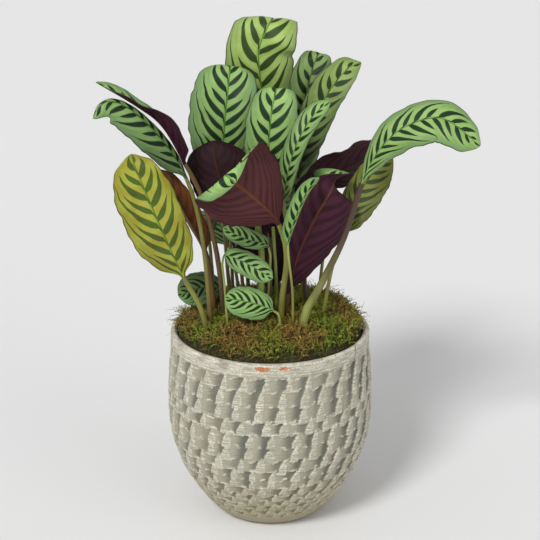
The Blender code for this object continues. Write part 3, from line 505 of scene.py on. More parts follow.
def sprigs_piece(name, draw, sprigs):
    """One tangle of sprigs as a single mesh. Each point keeps the sprig's dryness, its height up the sprig, which sets
    the painted shade, and a random tone.
    """
    all_points = []
    all_faces = []
    tones = []
    base = 0
    for root, way, length, dry in sprigs:
        way = way / np.linalg.norm(way)
        height = root[2]
        points, faces = sprig(draw, root, way, length, draw.uniform(1.4, 2.5))
        tip = (points[:, 2] - height) / length
        tones.append(np.column_stack([np.full(len(points), dry), np.clip(tip, 0, 1),
                                      np.full(len(points), draw.uniform())]))
        all_points.append(points)
        all_faces += [tuple(base + corner for corner in face) for face in faces]
        base += len(points)
    mesh = bpy.data.meshes.new(name)
    mesh.from_pydata((np.vstack(all_points) * MM).tolist(), [], all_faces)
    piece = bpy.data.objects.new(name, mesh)
    bpy.context.scene.collection.objects.link(piece)
    give_colours(mesh, "tone", np.vstack(tones))
    return piece


sprig_finish = Finish("moss_sprigs", 0.70)
dryness, high, own = sprig_finish.parts_of("tone")
fresh = sprig_finish.mix(own, (0.085, 0.145, 0.008), (0.360, 0.410, 0.030))
dried = sprig_finish.mix(own, (0.130, 0.062, 0.010), (0.460, 0.290, 0.060))
sprig_colour = sprig_finish.mix(sprig_finish.soft(dryness, 0.38, 0.78), fresh, dried)
# Painted shade: each sprig is painted near black low down and keeps its own colour only towards its tip, for the shade
# deep in the mat.
shaded = sprig_finish.mix(0.85, sprig_colour, (0.01, 0.01, 0.002))
sprig_finish.colour(sprig_finish.mix(sprig_finish.soft(high, -0.05, 0.55), shaded, sprig_colour))
for number in range(MOSS_PIECES):
    draw = np.random.default_rng(40 + number)
    piece = sprigs_piece("moss_sprigs_%d" % (number + 1), draw, scattered(draw))
    piece.data.materials.append(sprig_finish.material)
    keep(piece, piece.name, "moss")
draw = np.random.default_rng(50)
piece = sprigs_piece("stray_strands", draw, strays(draw))
piece.data.materials.append(sprig_finish.material)
keep(piece, piece.name, "moss")

# Each leaf grew as one piece: a sheathed foot, a long stalk with a short swollen joint under the
# blade, and a thin oblong blade. Its upper side is pale green with dark bars along the side veins,
# long and short in turn, and its underside is wine red. Some blades are painted yellower, for
# yellowing and for light shining through them, and blades in shade are painted darker, with more
# painted shade towards the stalk.
BLADE_THICKNESS = 0.45
BLADE_ROWS = 58
BLADE_COLUMNS = 25
STALK_ROWS = 16
ROUTE_STEPS = 24
BLADE_FLAT_BY = 0.12
BLADE_FULLNESS = (2.5, 0.52)
BLADE_TIP_FROM = 0.92
BLADE_TIP_DRAWN_IN = 0.30
LEAST_HALF_WIDTH = 0.9
EDGE_TURN = 1.3
TURN_STEPS = 12
WAVE_STARTS = (2.4, 0.6)
STALK_TAPER = 0.25
SHEATH_POWER = 1.5
MIDRIB_PROUD = 0.9
MIDRIB_TAPER = 0.8
VEIN_SWEEP = (0.70, 1.15)


def leaf(route, blade_from, face, half_width, stalk=1.7, sheath=0.2, widest=0.52,
         fold=0.0, bend=(0.0, 0.0), wave=0.0, waves=2.5):
    """One leaf: the points it grows through and the way its blade is shaped.

    route: points from the foot of the stalk, up the midrib, to the tip
    blade_from: which point of the route the blade starts at
    face: the way the upper side looks at each of the blade's points
    half_width: left and right of the midrib, seen from the upper side with the tip up
    stalk and sheath: the stalk's radius, and the share by which it is thicker at its foot
    widest: where along the blade it is widest, as a share of its length
    fold and bend: degrees that each half is raised at the midrib and turns by its edge
    """
    return dict(route=route, blade_from=blade_from, face=face, half_width=half_width, stalk=stalk,
                sheath=sheath, widest=widest, fold=fold, bend=bend, wave=wave, waves=waves)


LEAVES = {
    # The upright group at the top, upper sides to the front
    "leaf_01": leaf(
        ((-6, 24, 126), (-3, 32, 230), (-1, 36, 296), (-6, 30, 348),
         (-9, 27, 382), (-3, 29, 401), (3, 40, 408), (6, 52, 402)),
        2, ((0.1, -1, 0.1), (0.05, -1, 0.15), (0.05, -1, 0.3), (0, -0.8, 0.8), (0, -0.2, 1), (0, 0.4, 1)),
        (27, 28), widest=0.62, fold=12, bend=(-26, -26), wave=1.5),
    "leaf_02": leaf(
        ((-28, 6, 126), (-36, 8, 225), (-38, 6, 286), (-36, 0, 328),
         (-33, 1, 357), (-31, 10, 374), (-30, 22, 373)),
        2, ((0, -1, 0.1), (0, -1, 0.2), (0, -1, 0.3), (0.1, -0.5, 1), (0.1, 0.3, 1)),
        (30, 25), fold=14, bend=(-34, -30)),
    "leaf_03": leaf(
        ((0, 3, 126), (0, 4, 215), (-1, -1, 270), (-1, -7, 312),
         (1, -8, 341), (5, -1, 359), (7, 9, 358)),
        2, ((0, -1, 0.1), (0, -1, 0.2), (0, -1, 0.3), (0, -0.5, 1), (0, 0.3, 1)),
        (20, 23), fold=16, bend=(-34, -30)),
    "leaf_04": leaf(
        ((14, 21, 126), (21, 26, 235), (23, 26, 300), (27, 23, 338),
         (32, 22, 364), (38, 27, 381), (43, 37, 380)),
        2, ((0.2, -1, 0.1), (0.2, -1, 0.2), (0.2, -1, 0.3), (0.1, -0.6, 1), (0, 0.3, 1)),
        (16, 17), fold=14, bend=(-30, -34)),
    "leaf_05": leaf(
        ((29, 13, 126), (27, 16, 225), (23, 17, 282), (33, 14, 320),
         (44, 14, 350), (60, 18, 371), (72, 25, 376)),
        2, ((0.2, -1, 0.1), (0.2, -1, 0.15), (0.1, -1, 0.3), (0.1, -0.9, 0.5), (0.1, -0.7, 0.9)),
        (15, 14), widest=0.56, fold=10, bend=(-18, -30)),
    "leaf_06": leaf(
        ((20, -6, 126), (18, -8, 205), (14, -14, 248), (11, -22, 274),
         (15, -28, 305), (23, -30, 329), (34, -29, 347), (46, -26, 357)),
        3, ((-0.8, -0.7, 0.2), (-0.8, -0.7, 0.3), (-0.8, -0.7, 0.4), (-0.6, -0.7, 0.5), (-0.3, -0.8, 0.7)),
        (14, 11), fold=10, bend=(-20, -10)),
    # The left hand group, one above the other
    "leaf_07": leaf(
        ((-34, -12, 126), (-41, -18, 220), (-53, -22, 277), (-66, -21, 305),
         (-83, -19, 335), (-102, -16, 350), (-134, -14, 369)),
        3, ((0.75, 0.5, 0.45), (0.7, 0.45, 0.55), (0.5, 0.1, 0.85), (0.45, -0.1, 0.9)),
        (15, 13), stalk=2.2, sheath=0.3, widest=0.42, fold=14, bend=(10, 10), wave=1),
    "leaf_08": leaf(
        ((-45, -22, 126), (-51, -30, 225), (-57, -31, 270), (-65, -27, 295),
         (-78, -25, 319), (-94, -26, 339), (-109, -26, 352), (-122, -26, 357),
         (-131, -27, 353), (-136, -28, 344)),
        3, ((0.5, -0.65, 0.5), (0.5, -0.6, 0.6), (0.5, -0.55, 0.7), (0.4, -0.5, 0.8), (0, -0.5, 1),
            (-0.3, -0.5, 0.9), (-0.5, -0.5, 0.8)),
        (19, 17), stalk=1.9, widest=0.56, fold=-8, bend=(-45, -50)),
    "leaf_09": leaf(
        ((-47, -34, 126), (-53, -34, 182), (-68, -35, 216), (-78, -41, 243), (-90, -44, 275),
         (-101, -43, 304), (-107, -37, 318)),
        2, ((-0.1, -1, 0.1), (-0.1, -1, 0.2), (-0.1, -1, 0.2), (-0.1, -1, 0.3), (0, -0.6, 0.8)),
        (27, 21), stalk=2.5, widest=0.54, fold=6, bend=(-14, -16), wave=1.8),
    "leaf_10": leaf(
        ((-44, -8, 126), (-47, -10, 195), (-52, -14, 230), (-64, -16, 258),
         (-77, -14, 281), (-87, -8, 297)),
        2, ((0.5, 0.8, 0.2), (0.5, 0.8, 0.2), (0.5, 0.8, 0.3), (0.5, 0.7, 0.5)),
        (12, 13), stalk=3, sheath=0.3, fold=20, bend=(20, 20)),
    # The dark undersides in the middle and at the right
    "leaf_11": leaf(
        ((10, -25, 126), (9, -27, 185), (13, -36, 233), (7, -40, 262), (-8, -50, 283), (-24, -60, 300),
         (-33, -66, 309), (-33, -71, 311), (-29, -72, 308), (-26, -71, 305)),
        3, ((-0.5, 0.85, 0.1), (-0.5, 0.86, 0.05), (-0.51, 0.86, 0.07), (-0.6, 0.6, 0.5),
            (-0.45, -0.4, 0.8), (0.45, -0.87, 0.15), (0.51, -0.86, -0.07)),
        (37, 32), stalk=2.6, widest=0.68, fold=-4, bend=(8, 8)),
    "leaf_12": leaf(
        ((-19, -6, 126), (-23, -8, 210), (-30, -11, 250), (-37, -14, 282),
         (-43, -13, 307), (-45, -8, 321)),
        2, ((0, 1, 0.1), (0, 1, 0.2), (0, 1, 0.3), (0, 0.9, 0.5)),
        (25, 25), widest=0.66, fold=4, bend=(10, 10), wave=2.2, waves=3.5),
    "leaf_13": leaf(
        ((-6, -7, 126), (-2, -9, 200), (0, -12, 242), (-1, -15, 278),
         (-3, -15, 304), (-5, -12, 316)),
        2, ((0, 1, 0.1), (0, 1, 0.2), (0, 1, 0.3), (0, 0.9, 0.5)),
        (11, 9), stalk=1.4, widest=0.60, fold=6, bend=(14, 14), wave=1.2, waves=3.5),
    "leaf_14": leaf(
        ((31, -2, 126), (28, 2, 215), (25, 3, 264), (41, 4, 285),
         (62, 8, 294), (84, 15, 304), (98, 21, 313)),
        2, ((-0.4, 0.9, 0.3), (-0.4, 0.85, 0.4), (-0.3, 0.85, 0.4), (-0.3, 0.8, 0.5), (-0.3, 0.8, 0.5)),
        (16, 18), fold=4, bend=(-10, 14), wave=2.2, waves=3.0),
    "leaf_15": leaf(
        ((15, -15, 126), (13, -18, 172), (14, -21, 197), (23, -27, 234),
         (35, -31, 264), (46, -30, 284), (52, -23, 295), (56, -14, 298)),
        2, ((0.1, 1, 0.1), (0.1, 1, 0.1), (0.1, 1, 0.2), (0.1, 0.9, 0.4), (0.1, 0.5, 0.9), (0.1, 0.0, 1)),
        (29, 17), stalk=2.8, widest=0.66, fold=6, bend=(12, 12), wave=1),
    # The right hand pair, the upper one long and arched
    "leaf_16": leaf(
        ((24, -37, 126), (27, -37, 182), (39, -36, 208), (58, -34, 249),
         (71, -31, 292), (80, -30, 312), (90, -29, 326), (106, -30, 339),
         (132, -33, 345), (161, -38, 325)),
        4, ((-0.3, -0.9, 0.2), (-0.4, -0.9, 0.3), (-0.3, -0.8, 0.5), (-0.1, -0.75, 0.65), (0.1, -0.7, 0.7),
            (0.4, -0.7, 0.6)),
        (17.5, 21), stalk=2.7, sheath=0.7, widest=0.68, fold=10, bend=(-24, -20), wave=1),
    "leaf_17": leaf(
        ((37, -10, 126), (48, -10, 205), (58, -10, 243), (63, -10, 262),
         (73, -8, 281), (86, -3, 299), (97, 4, 305)),
        2, ((0, -1, 0.2), (0, -1, 0.2), (0, -1, 0.3), (0, -1, 0.3), (0, -0.8, 0.6)),
        (12, 18), fold=8, bend=(-12, -20)),
    # The small low leaves over the moss
    "leaf_18": leaf(
        ((-31, 13, 126), (-31, 12, 176), (-39, 9, 190), (-57, 4, 193),
         (-75, -2, 188)),
        2, ((0, -0.7, 0.7), (0, -0.75, 0.65), (-0.3, -0.7, 0.6)),
        (15, 15), stalk=1.2, fold=8, bend=(-22, -22)),
    "leaf_19": leaf(
        ((7, -38, 126), (8, -38, 178), (3, -38, 189), (-14, -38, 196),
         (-36, -37, 200)),
        2, ((0, -0.75, 0.65), (0, -0.8, 0.6), (0.2, -0.8, 0.6)),
        (14, 13), stalk=1.3, fold=8, bend=(-26, -22)),
    "leaf_20": leaf(
        ((-31, -32, 126), (-36, -31, 205), (-37, -32, 232), (-22, -35, 230),
         (2, -37, 216)),
        2, ((0, -0.85, 0.5), (0, -0.85, 0.5), (0, -0.85, 0.5)),
        (10, 10), stalk=1.1, fold=6, bend=(-20, -20)),
    "leaf_21": leaf(
        ((-6, -19, 126), (-1, -22, 205), (-1, -26, 238), (-18, -31, 247),
         (-37, -31, 256)),
        2, ((0, -0.8, 0.6), (0, -0.9, 0.4), (0, -0.9, 0.4)),
        (7, 9), stalk=1, fold=10, bend=(-20, -30), wave=1.2, waves=3.0),
    "leaf_22": leaf(
        ((18, -32, 126), (18, -36, 200), (14, -44, 246), (20, -45, 270),
         (29, -45, 291), (38, -43, 301)),
        2, ((-0.5, -0.8, 0.2), (-0.6, -0.7, 0.2), (-0.6, -0.7, 0.3), (-0.4, -0.7, 0.5)),
        (8, 8), stalk=1.1, fold=35, bend=(10, 10)),
    "leaf_23": leaf(
        ((-14, -16, 126), (-8, -14, 190), (-6, -16, 210), (-14, -20, 226),
         (-27, -21, 238)),
        2, ((-0.3, 0.9, 0.2), (-0.3, 0.9, 0.3), (-0.3, 0.9, 0.3)),
        (10, 10), stalk=1, fold=8, bend=(10, 10)),
    # The back of the plant
    "leaf_24": leaf(
        ((-16, 31, 126), (-20, 42, 220), (-22, 54, 280), (-24, 68, 320),
         (-25, 90, 345), (-25, 114, 353)),
        2, ((0, -0.9, 0.4), (0, -0.7, 0.7), (0, -0.3, 0.9), (0, 0.2, 1)),
        (26, 26), fold=8, bend=(-18, -18), wave=1.5),
    "leaf_25": leaf(
        ((15, 35, 126), (17, 48, 205), (18, 60, 255), (20, 78, 290),
         (22, 101, 308), (23, 126, 308)),
        2, ((0.1, -0.9, 0.4), (0.1, -0.7, 0.7), (0.1, -0.2, 1), (0.1, 0.4, 1)),
        (24, 22), fold=8, bend=(-18, -18), wave=1.5),
    "leaf_26": leaf(
        ((-30, 26, 126), (-32, 38, 200), (-34, 50, 240), (-37, 68, 272),
         (-38, 92, 288), (-37, 117, 284)),
        2, ((-0.1, -0.9, 0.4), (-0.1, -0.7, 0.7), (-0.1, -0.2, 1), (-0.1, 0.4, 1)),
        (21, 21), fold=8, bend=(-18, -18), wave=1.5),
    "leaf_27": leaf(
        ((0, 47, 126), (1, 58, 190), (2, 74, 220), (6, 95, 239),
         (12, 117, 243), (19, 138, 229)),
        2, ((0, -0.7, 0.7), (-0.1, -0.4, 1), (-0.2, 0, 1), (-0.2, 0.5, 0.9)),
        (22, 22), fold=6, bend=(-18, -18), wave=1.5),
    "leaf_28": leaf(
        ((23, 46, 126), (28, 56, 180), (34, 70, 205), (44, 88, 222),
         (54, 108, 226), (62, 128, 214)),
        2, ((-0.3, -0.6, 0.7), (-0.2, -0.3, 1), (0, 0, 1), (0.2, 0.5, 0.9)),
        (20, 20), fold=6, bend=(-18, -18), wave=1.5),
    "leaf_29": leaf(
        ((-23, 47, 126), (-28, 56, 180), (-35, 70, 205), (-44, 88, 222),
         (-52, 108, 226), (-58, 128, 214)),
        2, ((0.3, -0.6, 0.7), (0.2, -0.3, 1), (0, 0, 1), (-0.2, 0.5, 0.9)),
        (20, 20), fold=6, bend=(-18, -18), wave=1.5),
    "leaf_30": leaf(
        ((2, 35, 126), (1, 27, 160), (0, 19, 186), (-3, 16, 206), (-8, 15, 232), (-13, 15, 255),
         (-18, 16, 272)),
        2, ((0.1, 1, 0.1), (0.1, 1, 0.1), (0.1, 1, 0.1), (0.1, 1, 0.15), (0.1, 1, 0.2)),
        (25, 26), widest=0.5, fold=6, bend=(8, 8), wave=1.2),
    "leaf_31": leaf(
        ((7, 25, 126), (8, 36, 225), (10, 46, 282), (12, 49, 322),
         (12, 57, 348), (11, 72, 357)),
        2, ((0, 1, 0), (0, 1, 0.2), (0, 0.9, 0.5), (0, 0.6, 0.9)),
        (21, 21), fold=6, bend=(8, 8), wave=1.5),
    "leaf_32": leaf(
        ((-43, 14, 126), (-47, 19, 190), (-50, 25, 226), (-54, 31, 262),
         (-58, 38, 290), (-64, 47, 308)),
        2, ((1, -0.2, 0.2), (1, -0.2, 0.2), (1, -0.1, 0.4), (0.9, 0.0, 0.6)),
        (18, 20), fold=8, bend=(12, 12), wave=1.5),
    "leaf_33": leaf(
        ((36, 27, 126), (42, 34, 185), (45, 38, 213), (48, 43, 242),
         (51, 49, 266), (56, 58, 280)),
        2, ((-1, -0.2, 0.2), (-1, -0.2, 0.2), (-1, -0.1, 0.4), (-0.9, 0.0, 0.6)),
        (18, 17), fold=8, bend=(12, 12), wave=1.5),
}

# How each leaf differs: bars on each half, yellowing with painted backlight glow, a painted light
# level that darkens leaves in shade and brightens lit ones, how warm its underside is, from wine red
# to orange brown, and how much painted shade darkens the blade near the stalk. Then the stalk's
# colour at its foot and at the blade.
OLIVE = (0.23, 0.24, 0.04)
LIME = (0.38, 0.46, 0.10)
BROWN = (0.16, 0.085, 0.025)
DARK = (0.055, 0.025, 0.02)
LOOKS = {
    "leaf_01": (10, 0.30, 1.15, 0.2, 0.20, BROWN, OLIVE), "leaf_02": (10, 0.02, 0.95, 0.2, 0.20, BROWN, OLIVE),
    "leaf_03": (9, 0.05, 1.05, 0.2, 0.15, BROWN, OLIVE), "leaf_04": (9, 0.10, 0.70, 0.2, 0.50, BROWN, OLIVE),
    "leaf_05": (10, 0.25, 0.95, 0.2, 0.80, BROWN, OLIVE), "leaf_06": (11, 0.05, 1.00, 0.2, 0.35, DARK, OLIVE),
    "leaf_07": (9, 0.00, 1.00, 0.05, 0.30, DARK, BROWN), "leaf_08": (10, 0.00, 0.85, 0.3, 0.55, BROWN, OLIVE),
    "leaf_09": (9, 0.95, 0.95, 0.4, 0.05, DARK, OLIVE), "leaf_10": (8, 0.60, 1.10, 0.9, 0.45, BROWN, BROWN),
    "leaf_11": (9, 0.00, 1.10, 0.22, 0.0, OLIVE, OLIVE), "leaf_12": (8, 0.00, 0.40, 0.1, 0.3, DARK, BROWN),
    "leaf_13": (8, 0.00, 0.40, 0.0, 0.3, DARK, DARK), "leaf_14": (9, 0.00, 0.75, 0.15, 0.3, DARK, DARK),
    "leaf_15": (9, 0.00, 1.00, 0.05, 0.1, OLIVE, BROWN), "leaf_16": (13, 0.05, 1.05, 0.3, 0.2, LIME, DARK),
    "leaf_17": (9, 0.75, 0.60, 0.5, 0.3, OLIVE, OLIVE), "leaf_18": (7, 0.00, 0.80, 0.2, 0.2, LIME, LIME),
    "leaf_19": (7, 0.00, 1.05, 0.2, 0.1, LIME, LIME), "leaf_20": (7, 0.00, 0.90, 0.2, 0.1, LIME, LIME),
    "leaf_21": (7, 0.00, 0.90, 0.2, 0.1, LIME, LIME), "leaf_22": (8, 0.00, 1.05, 0.2, 0.1, OLIVE, LIME),
    "leaf_23": (7, 0.00, 0.60, 0.1, 0.1, DARK, DARK), "leaf_30": (9, 0.00, 0.50, 0.05, 0.3, DARK, DARK),
}
PLAIN_LOOK = (10, 0.10, 0.95, 0.15, 0.30, BROWN, OLIVE)


def unit(vectors):
    return vectors / np.linalg.norm(vectors, axis=-1, keepdims=True)


def frames_along(spec, lengths, dense, run):
    """Position, side and upper direction of the midrib at each length run."""
    place = np.stack([np.interp(lengths, run, dense[:, axis]) for axis in range(3)], -1)
    slope = unit(np.gradient(dense, run, axis=0))
    tangent = unit(np.stack([np.interp(lengths, run, slope[:, axis]) for axis in range(3)], -1))
    knots = run[spec["blade_from"] * ROUTE_STEPS::ROUTE_STEPS]
    face = unit(np.asarray(spec["face"], float))
    smooth_face = smooth_route(face, 8)[0]
    fine_knots = np.interp(np.arange(len(smooth_face)) / 8.0, np.arange(len(knots)), knots)
    upper = np.stack([np.interp(lengths, fine_knots, smooth_face[:, axis]) for axis in range(3)], -1)
    upper = unit(upper - tangent * np.sum(upper * tangent, axis=-1, keepdims=True))
    return place, np.cross(tangent, upper), upper


def blade_outline(along, widest):
    """Share of the half width at each share of the blade's length: oblong, with a short point."""
    shifted = along ** (math.log(0.5) / math.log(widest))
    rounded = (1.0 - np.abs(2.0 * shifted - 1.0) ** BLADE_FULLNESS[0]) ** BLADE_FULLNESS[1]
    return rounded * (1.0 - BLADE_TIP_DRAWN_IN * smooth_step(BLADE_TIP_FROM, 1.0, along))


def stalk_radius(spec, share):
    """Radius at each share of the stalk's length: a sheath at the foot and a swollen joint at the top."""
    share = np.clip(share, 0.0, 1.0)
    slim = spec["stalk"] * (1.0 - STALK_TAPER * share)
    swollen = 1.0 + 0.16 * np.exp(-((share - 0.93) / 0.04) ** 2)
    return slim * swollen * (1.0 + spec["sheath"] * (1.0 - share) ** SHEATH_POWER)


def across_offsets(spec, half_widths, along, across):
    """Sideways and upward offset of the blade's points, by adding up its turn from the midrib out."""
    side_out = np.zeros((len(along), len(across)))
    upward = np.zeros_like(side_out)
    for column, share in enumerate(across):
        hand = 0 if share < 0 else 1
        ring = (np.arange(TURN_STEPS) + 0.5) / TURN_STEPS * abs(share)
        turned = np.radians(spec["fold"] + spec["bend"][hand] * ring * EDGE_TURN)
        wide = half_widths[:, hand] * abs(share) / TURN_STEPS
        side_out[:, column] = math.copysign(1.0, share) * wide * np.sum(np.cos(turned))
        upward[:, column] = wide * np.sum(np.sin(turned))
        ripple = np.sin(2.0 * math.pi * spec["waves"] * along + WAVE_STARTS[hand])
        upward[:, column] += spec["wave"] * abs(share) ** 2 * ripple * np.sin(math.pi * along)
    return side_out, upward


def bar_place(spec, bars, along, across, blade_length):
    """Which bar of the pattern a point lies on: whole numbers are the middles of the bars."""
    hand = 0 if across < 0 else 1
    sweep = spec["half_width"][hand] / blade_length
    away = abs(across)
    veins = along - sweep * (VEIN_SWEEP[0] * away + VEIN_SWEEP[1] * away ** 3.5)
    return bars * veins + 0.5 * hand


def leaf_piece(name, spec, seed):
    """A grid laid round the stalk and the blade as one closed skin."""
    bars, yellow, light, warm, painted_base_shade, foot_colour, top_colour = LOOKS.get(name, PLAIN_LOOK)
    draw = np.random.default_rng(seed)
    dense, run = smooth_route(spec["route"], ROUTE_STEPS)
    blade_start = run[spec["blade_from"] * ROUTE_STEPS]
    blade_length = run[-1] - blade_start
    steps = np.arange(BLADE_ROWS) / (BLADE_ROWS - 1)
    along = 0.5 * (0.5 - 0.5 * np.cos(math.pi * steps)) + 0.5 * steps
    stalk_steps = np.arange(STALK_ROWS) / STALK_ROWS
    lengths = np.concatenate([blade_start * stalk_steps, blade_start + blade_length * along])
    share = np.concatenate([np.zeros(STALK_ROWS), along])
    place, side, upper = frames_along(spec, lengths, dense, run)
    across = np.linspace(-1.0, 1.0, BLADE_COLUMNS)
    across = np.sign(across) * (0.75 * np.abs(across) + 0.25 * np.abs(across) ** 2)
    half_widths = blade_outline(share, spec["widest"])[:, None] * np.array(spec["half_width"])[None, :]
    nibble = 1.0 + 0.018 * np.sin(share * 31.0 + draw.uniform(0, 6)) + 0.012 * np.sin(share * 67.0 + seed)
    half_widths = np.maximum(half_widths * nibble[:, None], LEAST_HALF_WIDTH)
    side_out, upward = across_offsets(spec, half_widths, share, across)
    flat = smooth_step(0.0, BLADE_FLAT_BY, share)[:, None]
    radius = stalk_radius(spec, lengths / blade_start)[:, None]
    off_midrib = np.abs(across)[None, :] * half_widths[:, [0 if t < 0 else 1 for t in across]]
    bar_at = np.stack([bar_place(spec, bars, share, t, blade_length) for t in across], -1)
    inner = smooth_step(0.0, 0.25, np.abs(across)) * (1.0 - smooth_step(0.75, 1.0, np.abs(across)))
    quilted = 0.28 * np.cos(2.0 * math.pi * bar_at) * inner[None, :] * np.sin(math.pi * share)[:, None]
    rings = []
    for below in (False, True):
        order = slice(None, None, -1) if below else slice(None)
        angle = math.pi * (BLADE_COLUMNS - 0.5 - np.arange(BLADE_COLUMNS)) / BLADE_COLUMNS
        angle = angle * (-1.0 if below else 1.0)
        lift = (-0.5 if below else 0.5) * BLADE_THICKNESS + quilted
        if below:
            lift = lift - (MIDRIB_PROUD * (1.0 - MIDRIB_TAPER * share))[:, None] * np.exp(-(off_midrib / 1.1) ** 2)
        else:
            lift = lift - 0.30 * np.exp(-(off_midrib / 0.8) ** 2) * np.sin(math.pi * share)[:, None]
        sideways = radius * np.cos(angle)[None, :] * (1.0 - flat) + side_out * flat
        raised_by = radius * np.sin(angle)[None, :] * (1.0 - flat) + (upward + lift) * flat
        points = (place[:, None, :] + side[:, None, :] * sideways[..., None]
                  + upper[:, None, :] * raised_by[..., None])
        rings.append(points[:, order])
    around = 2 * BLADE_COLUMNS
    rows = len(lengths)
    skin = np.concatenate([rings[0], rings[1], rings[0][:, :1]], axis=1)

    bpy.ops.object.select_all(action="DESELECT")
    bpy.ops.mesh.primitive_grid_add(x_subdivisions=around, y_subdivisions=rows - 1, size=1.0)
    piece = bpy.context.object
    mesh = piece.data
    mesh.vertices.foreach_set("co", (skin.reshape(-1, 3) * MM).ravel())

    faces_across = np.tile(np.arange(around), rows - 1)
    faces_along = np.repeat(np.arange(rows - 1), around)
    on_top = faces_across < BLADE_COLUMNS - 1
    underneath = (faces_across >= BLADE_COLUMNS) & (faces_across < around - 1)
    kind = np.where(on_top, 0, np.where(underneath, 1, 2))
    kind = np.where(faces_along < STALK_ROWS + 1, 3, kind)
    mesh.polygons.foreach_set("material_index", kind.astype(np.int32))

    corner_of = np.empty(len(mesh.loops), dtype=np.int32)
    mesh.loops.foreach_get("vertex_index", corner_of)
    face_of = np.repeat(np.arange(len(mesh.polygons)), 4)
    column = corner_of % (around + 1)
    row = corner_of // (around + 1)
    blade_column = np.where(column < BLADE_COLUMNS, column, around - 1 - column)
    blade_column = np.where(column == around, 0, blade_column)
    t = across[blade_column]
    s = share[row]
    middle = (BLADE_COLUMNS - 1) // 2
    face_column = np.where(faces_across < BLADE_COLUMNS, faces_across, around - 2 - faces_across)
    right = (face_column >= middle)[face_of]
    left_bar = np.stack([bar_place(spec, bars, share, -abs(x), blade_length) for x in across], -1)
    right_bar = np.stack([bar_place(spec, bars, share, abs(x), blade_length) for x in across], -1)
    b = np.where(right, right_bar[row, blade_column], left_bar[row, blade_column])
    seed_shift = np.where(right, 40.0, 0.0) + seed * 3.0
    where = mesh.uv_layers.new(name="blade")
    on_stalk = (kind == 3)[face_of]
    u = np.where(on_stalk, lengths[row] * 0.01, s)
    v = np.where(on_stalk, column / around, 0.5 + 0.5 * t)
    where.data.foreach_set("uv", np.column_stack([u, v]).ravel())
    pattern = mesh.uv_layers.new(name="bars")
    pattern.data.foreach_set("uv", np.column_stack([b + seed_shift, np.abs(t)]).ravel())

    # Painted light: each leaf's colour is scaled by its light level, with painted shade growing towards the stalk.
    lit = np.repeat(light * (1.0 - painted_base_shade * (1.0 - share) ** 1.3), around + 1)
    give_colours(mesh, "tint_and_painted_light", np.column_stack([np.full_like(lit, yellow), lit, np.full_like(lit, warm)]))
    up_stalk = smooth_step(0.1, 0.8, np.repeat(np.minimum(lengths / blade_start, 1.0), around + 1))[:, None]
    give_colours(mesh, "stalk_tone", np.array(foot_colour) * (1.0 - up_stalk) + np.array(top_colour) * up_stalk)
    bpy.ops.object.mode_set(mode="EDIT")
    bpy.ops.mesh.select_all(action="SELECT")
    bpy.ops.mesh.remove_doubles(threshold=0.000002)
    bpy.ops.mesh.fill_holes(sides=0)
    bpy.ops.mesh.select_all(action="SELECT")
    bpy.ops.mesh.normals_make_consistent(inside=False)
    bpy.ops.object.mode_set(mode="OBJECT")
    bpy.ops.object.shade_smooth()
    return piece


upper_side = Finish("leaf_upper_side", 0.40)
upper_side.shader.inputs["Specular IOR Level"].default_value = 0.35
number_on, out = upper_side.parts_of("bars", "map")[:2]
up_blade, half = upper_side.parts_of("blade", "map")[:2]
yellowing_and_backlight, painted_light_level, _ = upper_side.parts_of("tint_and_painted_light")
whole = upper_side.math("FLOOR", upper_side.math("ADD", number_on, 0.5))
beside = upper_side.math("ABSOLUTE", upper_side.math("SUBTRACT", number_on, whole))
pick = upper_side.tree.nodes.new("ShaderNodeTexWhiteNoise")
pick.noise_dimensions = "1D"
upper_side.put(pick.inputs["W"], whole)
random_share = pick.outputs["Value"]
odd = upper_side.math("PINGPONG", whole, 1.0)
reach = upper_side.math("ADD", upper_side.math("MULTIPLY", odd, 0.34), 0.56)
reach = upper_side.math("ADD", reach, upper_side.math("MULTIPLY", upper_side.math("SUBTRACT", random_share, 0.5), 0.20))
reach = upper_side.math("ADD", reach, upper_side.math("MULTIPLY", yellowing_and_backlight, 0.12))
near_tip = upper_side.soft(up_blade, 0.80, 1.0, 1.0, 0.55)
reach = upper_side.math("MULTIPLY", reach, near_tip)
spent = upper_side.math("POWER", upper_side.math("MINIMUM", upper_side.math("DIVIDE", out, reach), 1.0), 2.8)
taper = upper_side.math("POWER", upper_side.math("SUBTRACT", 1.0, spent), 0.75)
width_at = upper_side.math("MULTIPLY", taper, upper_side.math("ADD", upper_side.math("MULTIPLY", odd, 0.05), 0.27))
width_at = upper_side.math("MULTIPLY", width_at, upper_side.soft(out, 0.0, 0.28, 0.62, 1.0))
hairline = upper_side.math("MULTIPLY", upper_side.soft(out, 0.93, 0.99, 1.0, 0.0), 0.015)
width_at = upper_side.math("MAXIMUM", width_at, hairline)
barred = upper_side.soft(upper_side.math("SUBTRACT", width_at, beside), -0.015, 0.03)
fine_veins = upper_side.math("SINE", upper_side.math("MULTIPLY", number_on, 56.0))
mottle = upper_side.noise(70.0, 4.0)
ground = upper_side.mix(upper_side.soft(mottle, 0.35, 0.65), (0.250, 0.450, 0.120), (0.320, 0.530, 0.170))
ground = upper_side.mix(upper_side.soft(beside, 0.34, 0.50, 0.0, 0.5), ground, (0.400, 0.590, 0.190))
pale = upper_side.mix(upper_side.soft(out, 0.55, 0.95), ground, (0.230, 0.400, 0.150))
deep = upper_side.mix(upper_side.soft(beside, 0.08, 0.34), (0.0015, 0.018, 0.004), (0.006, 0.062, 0.004))
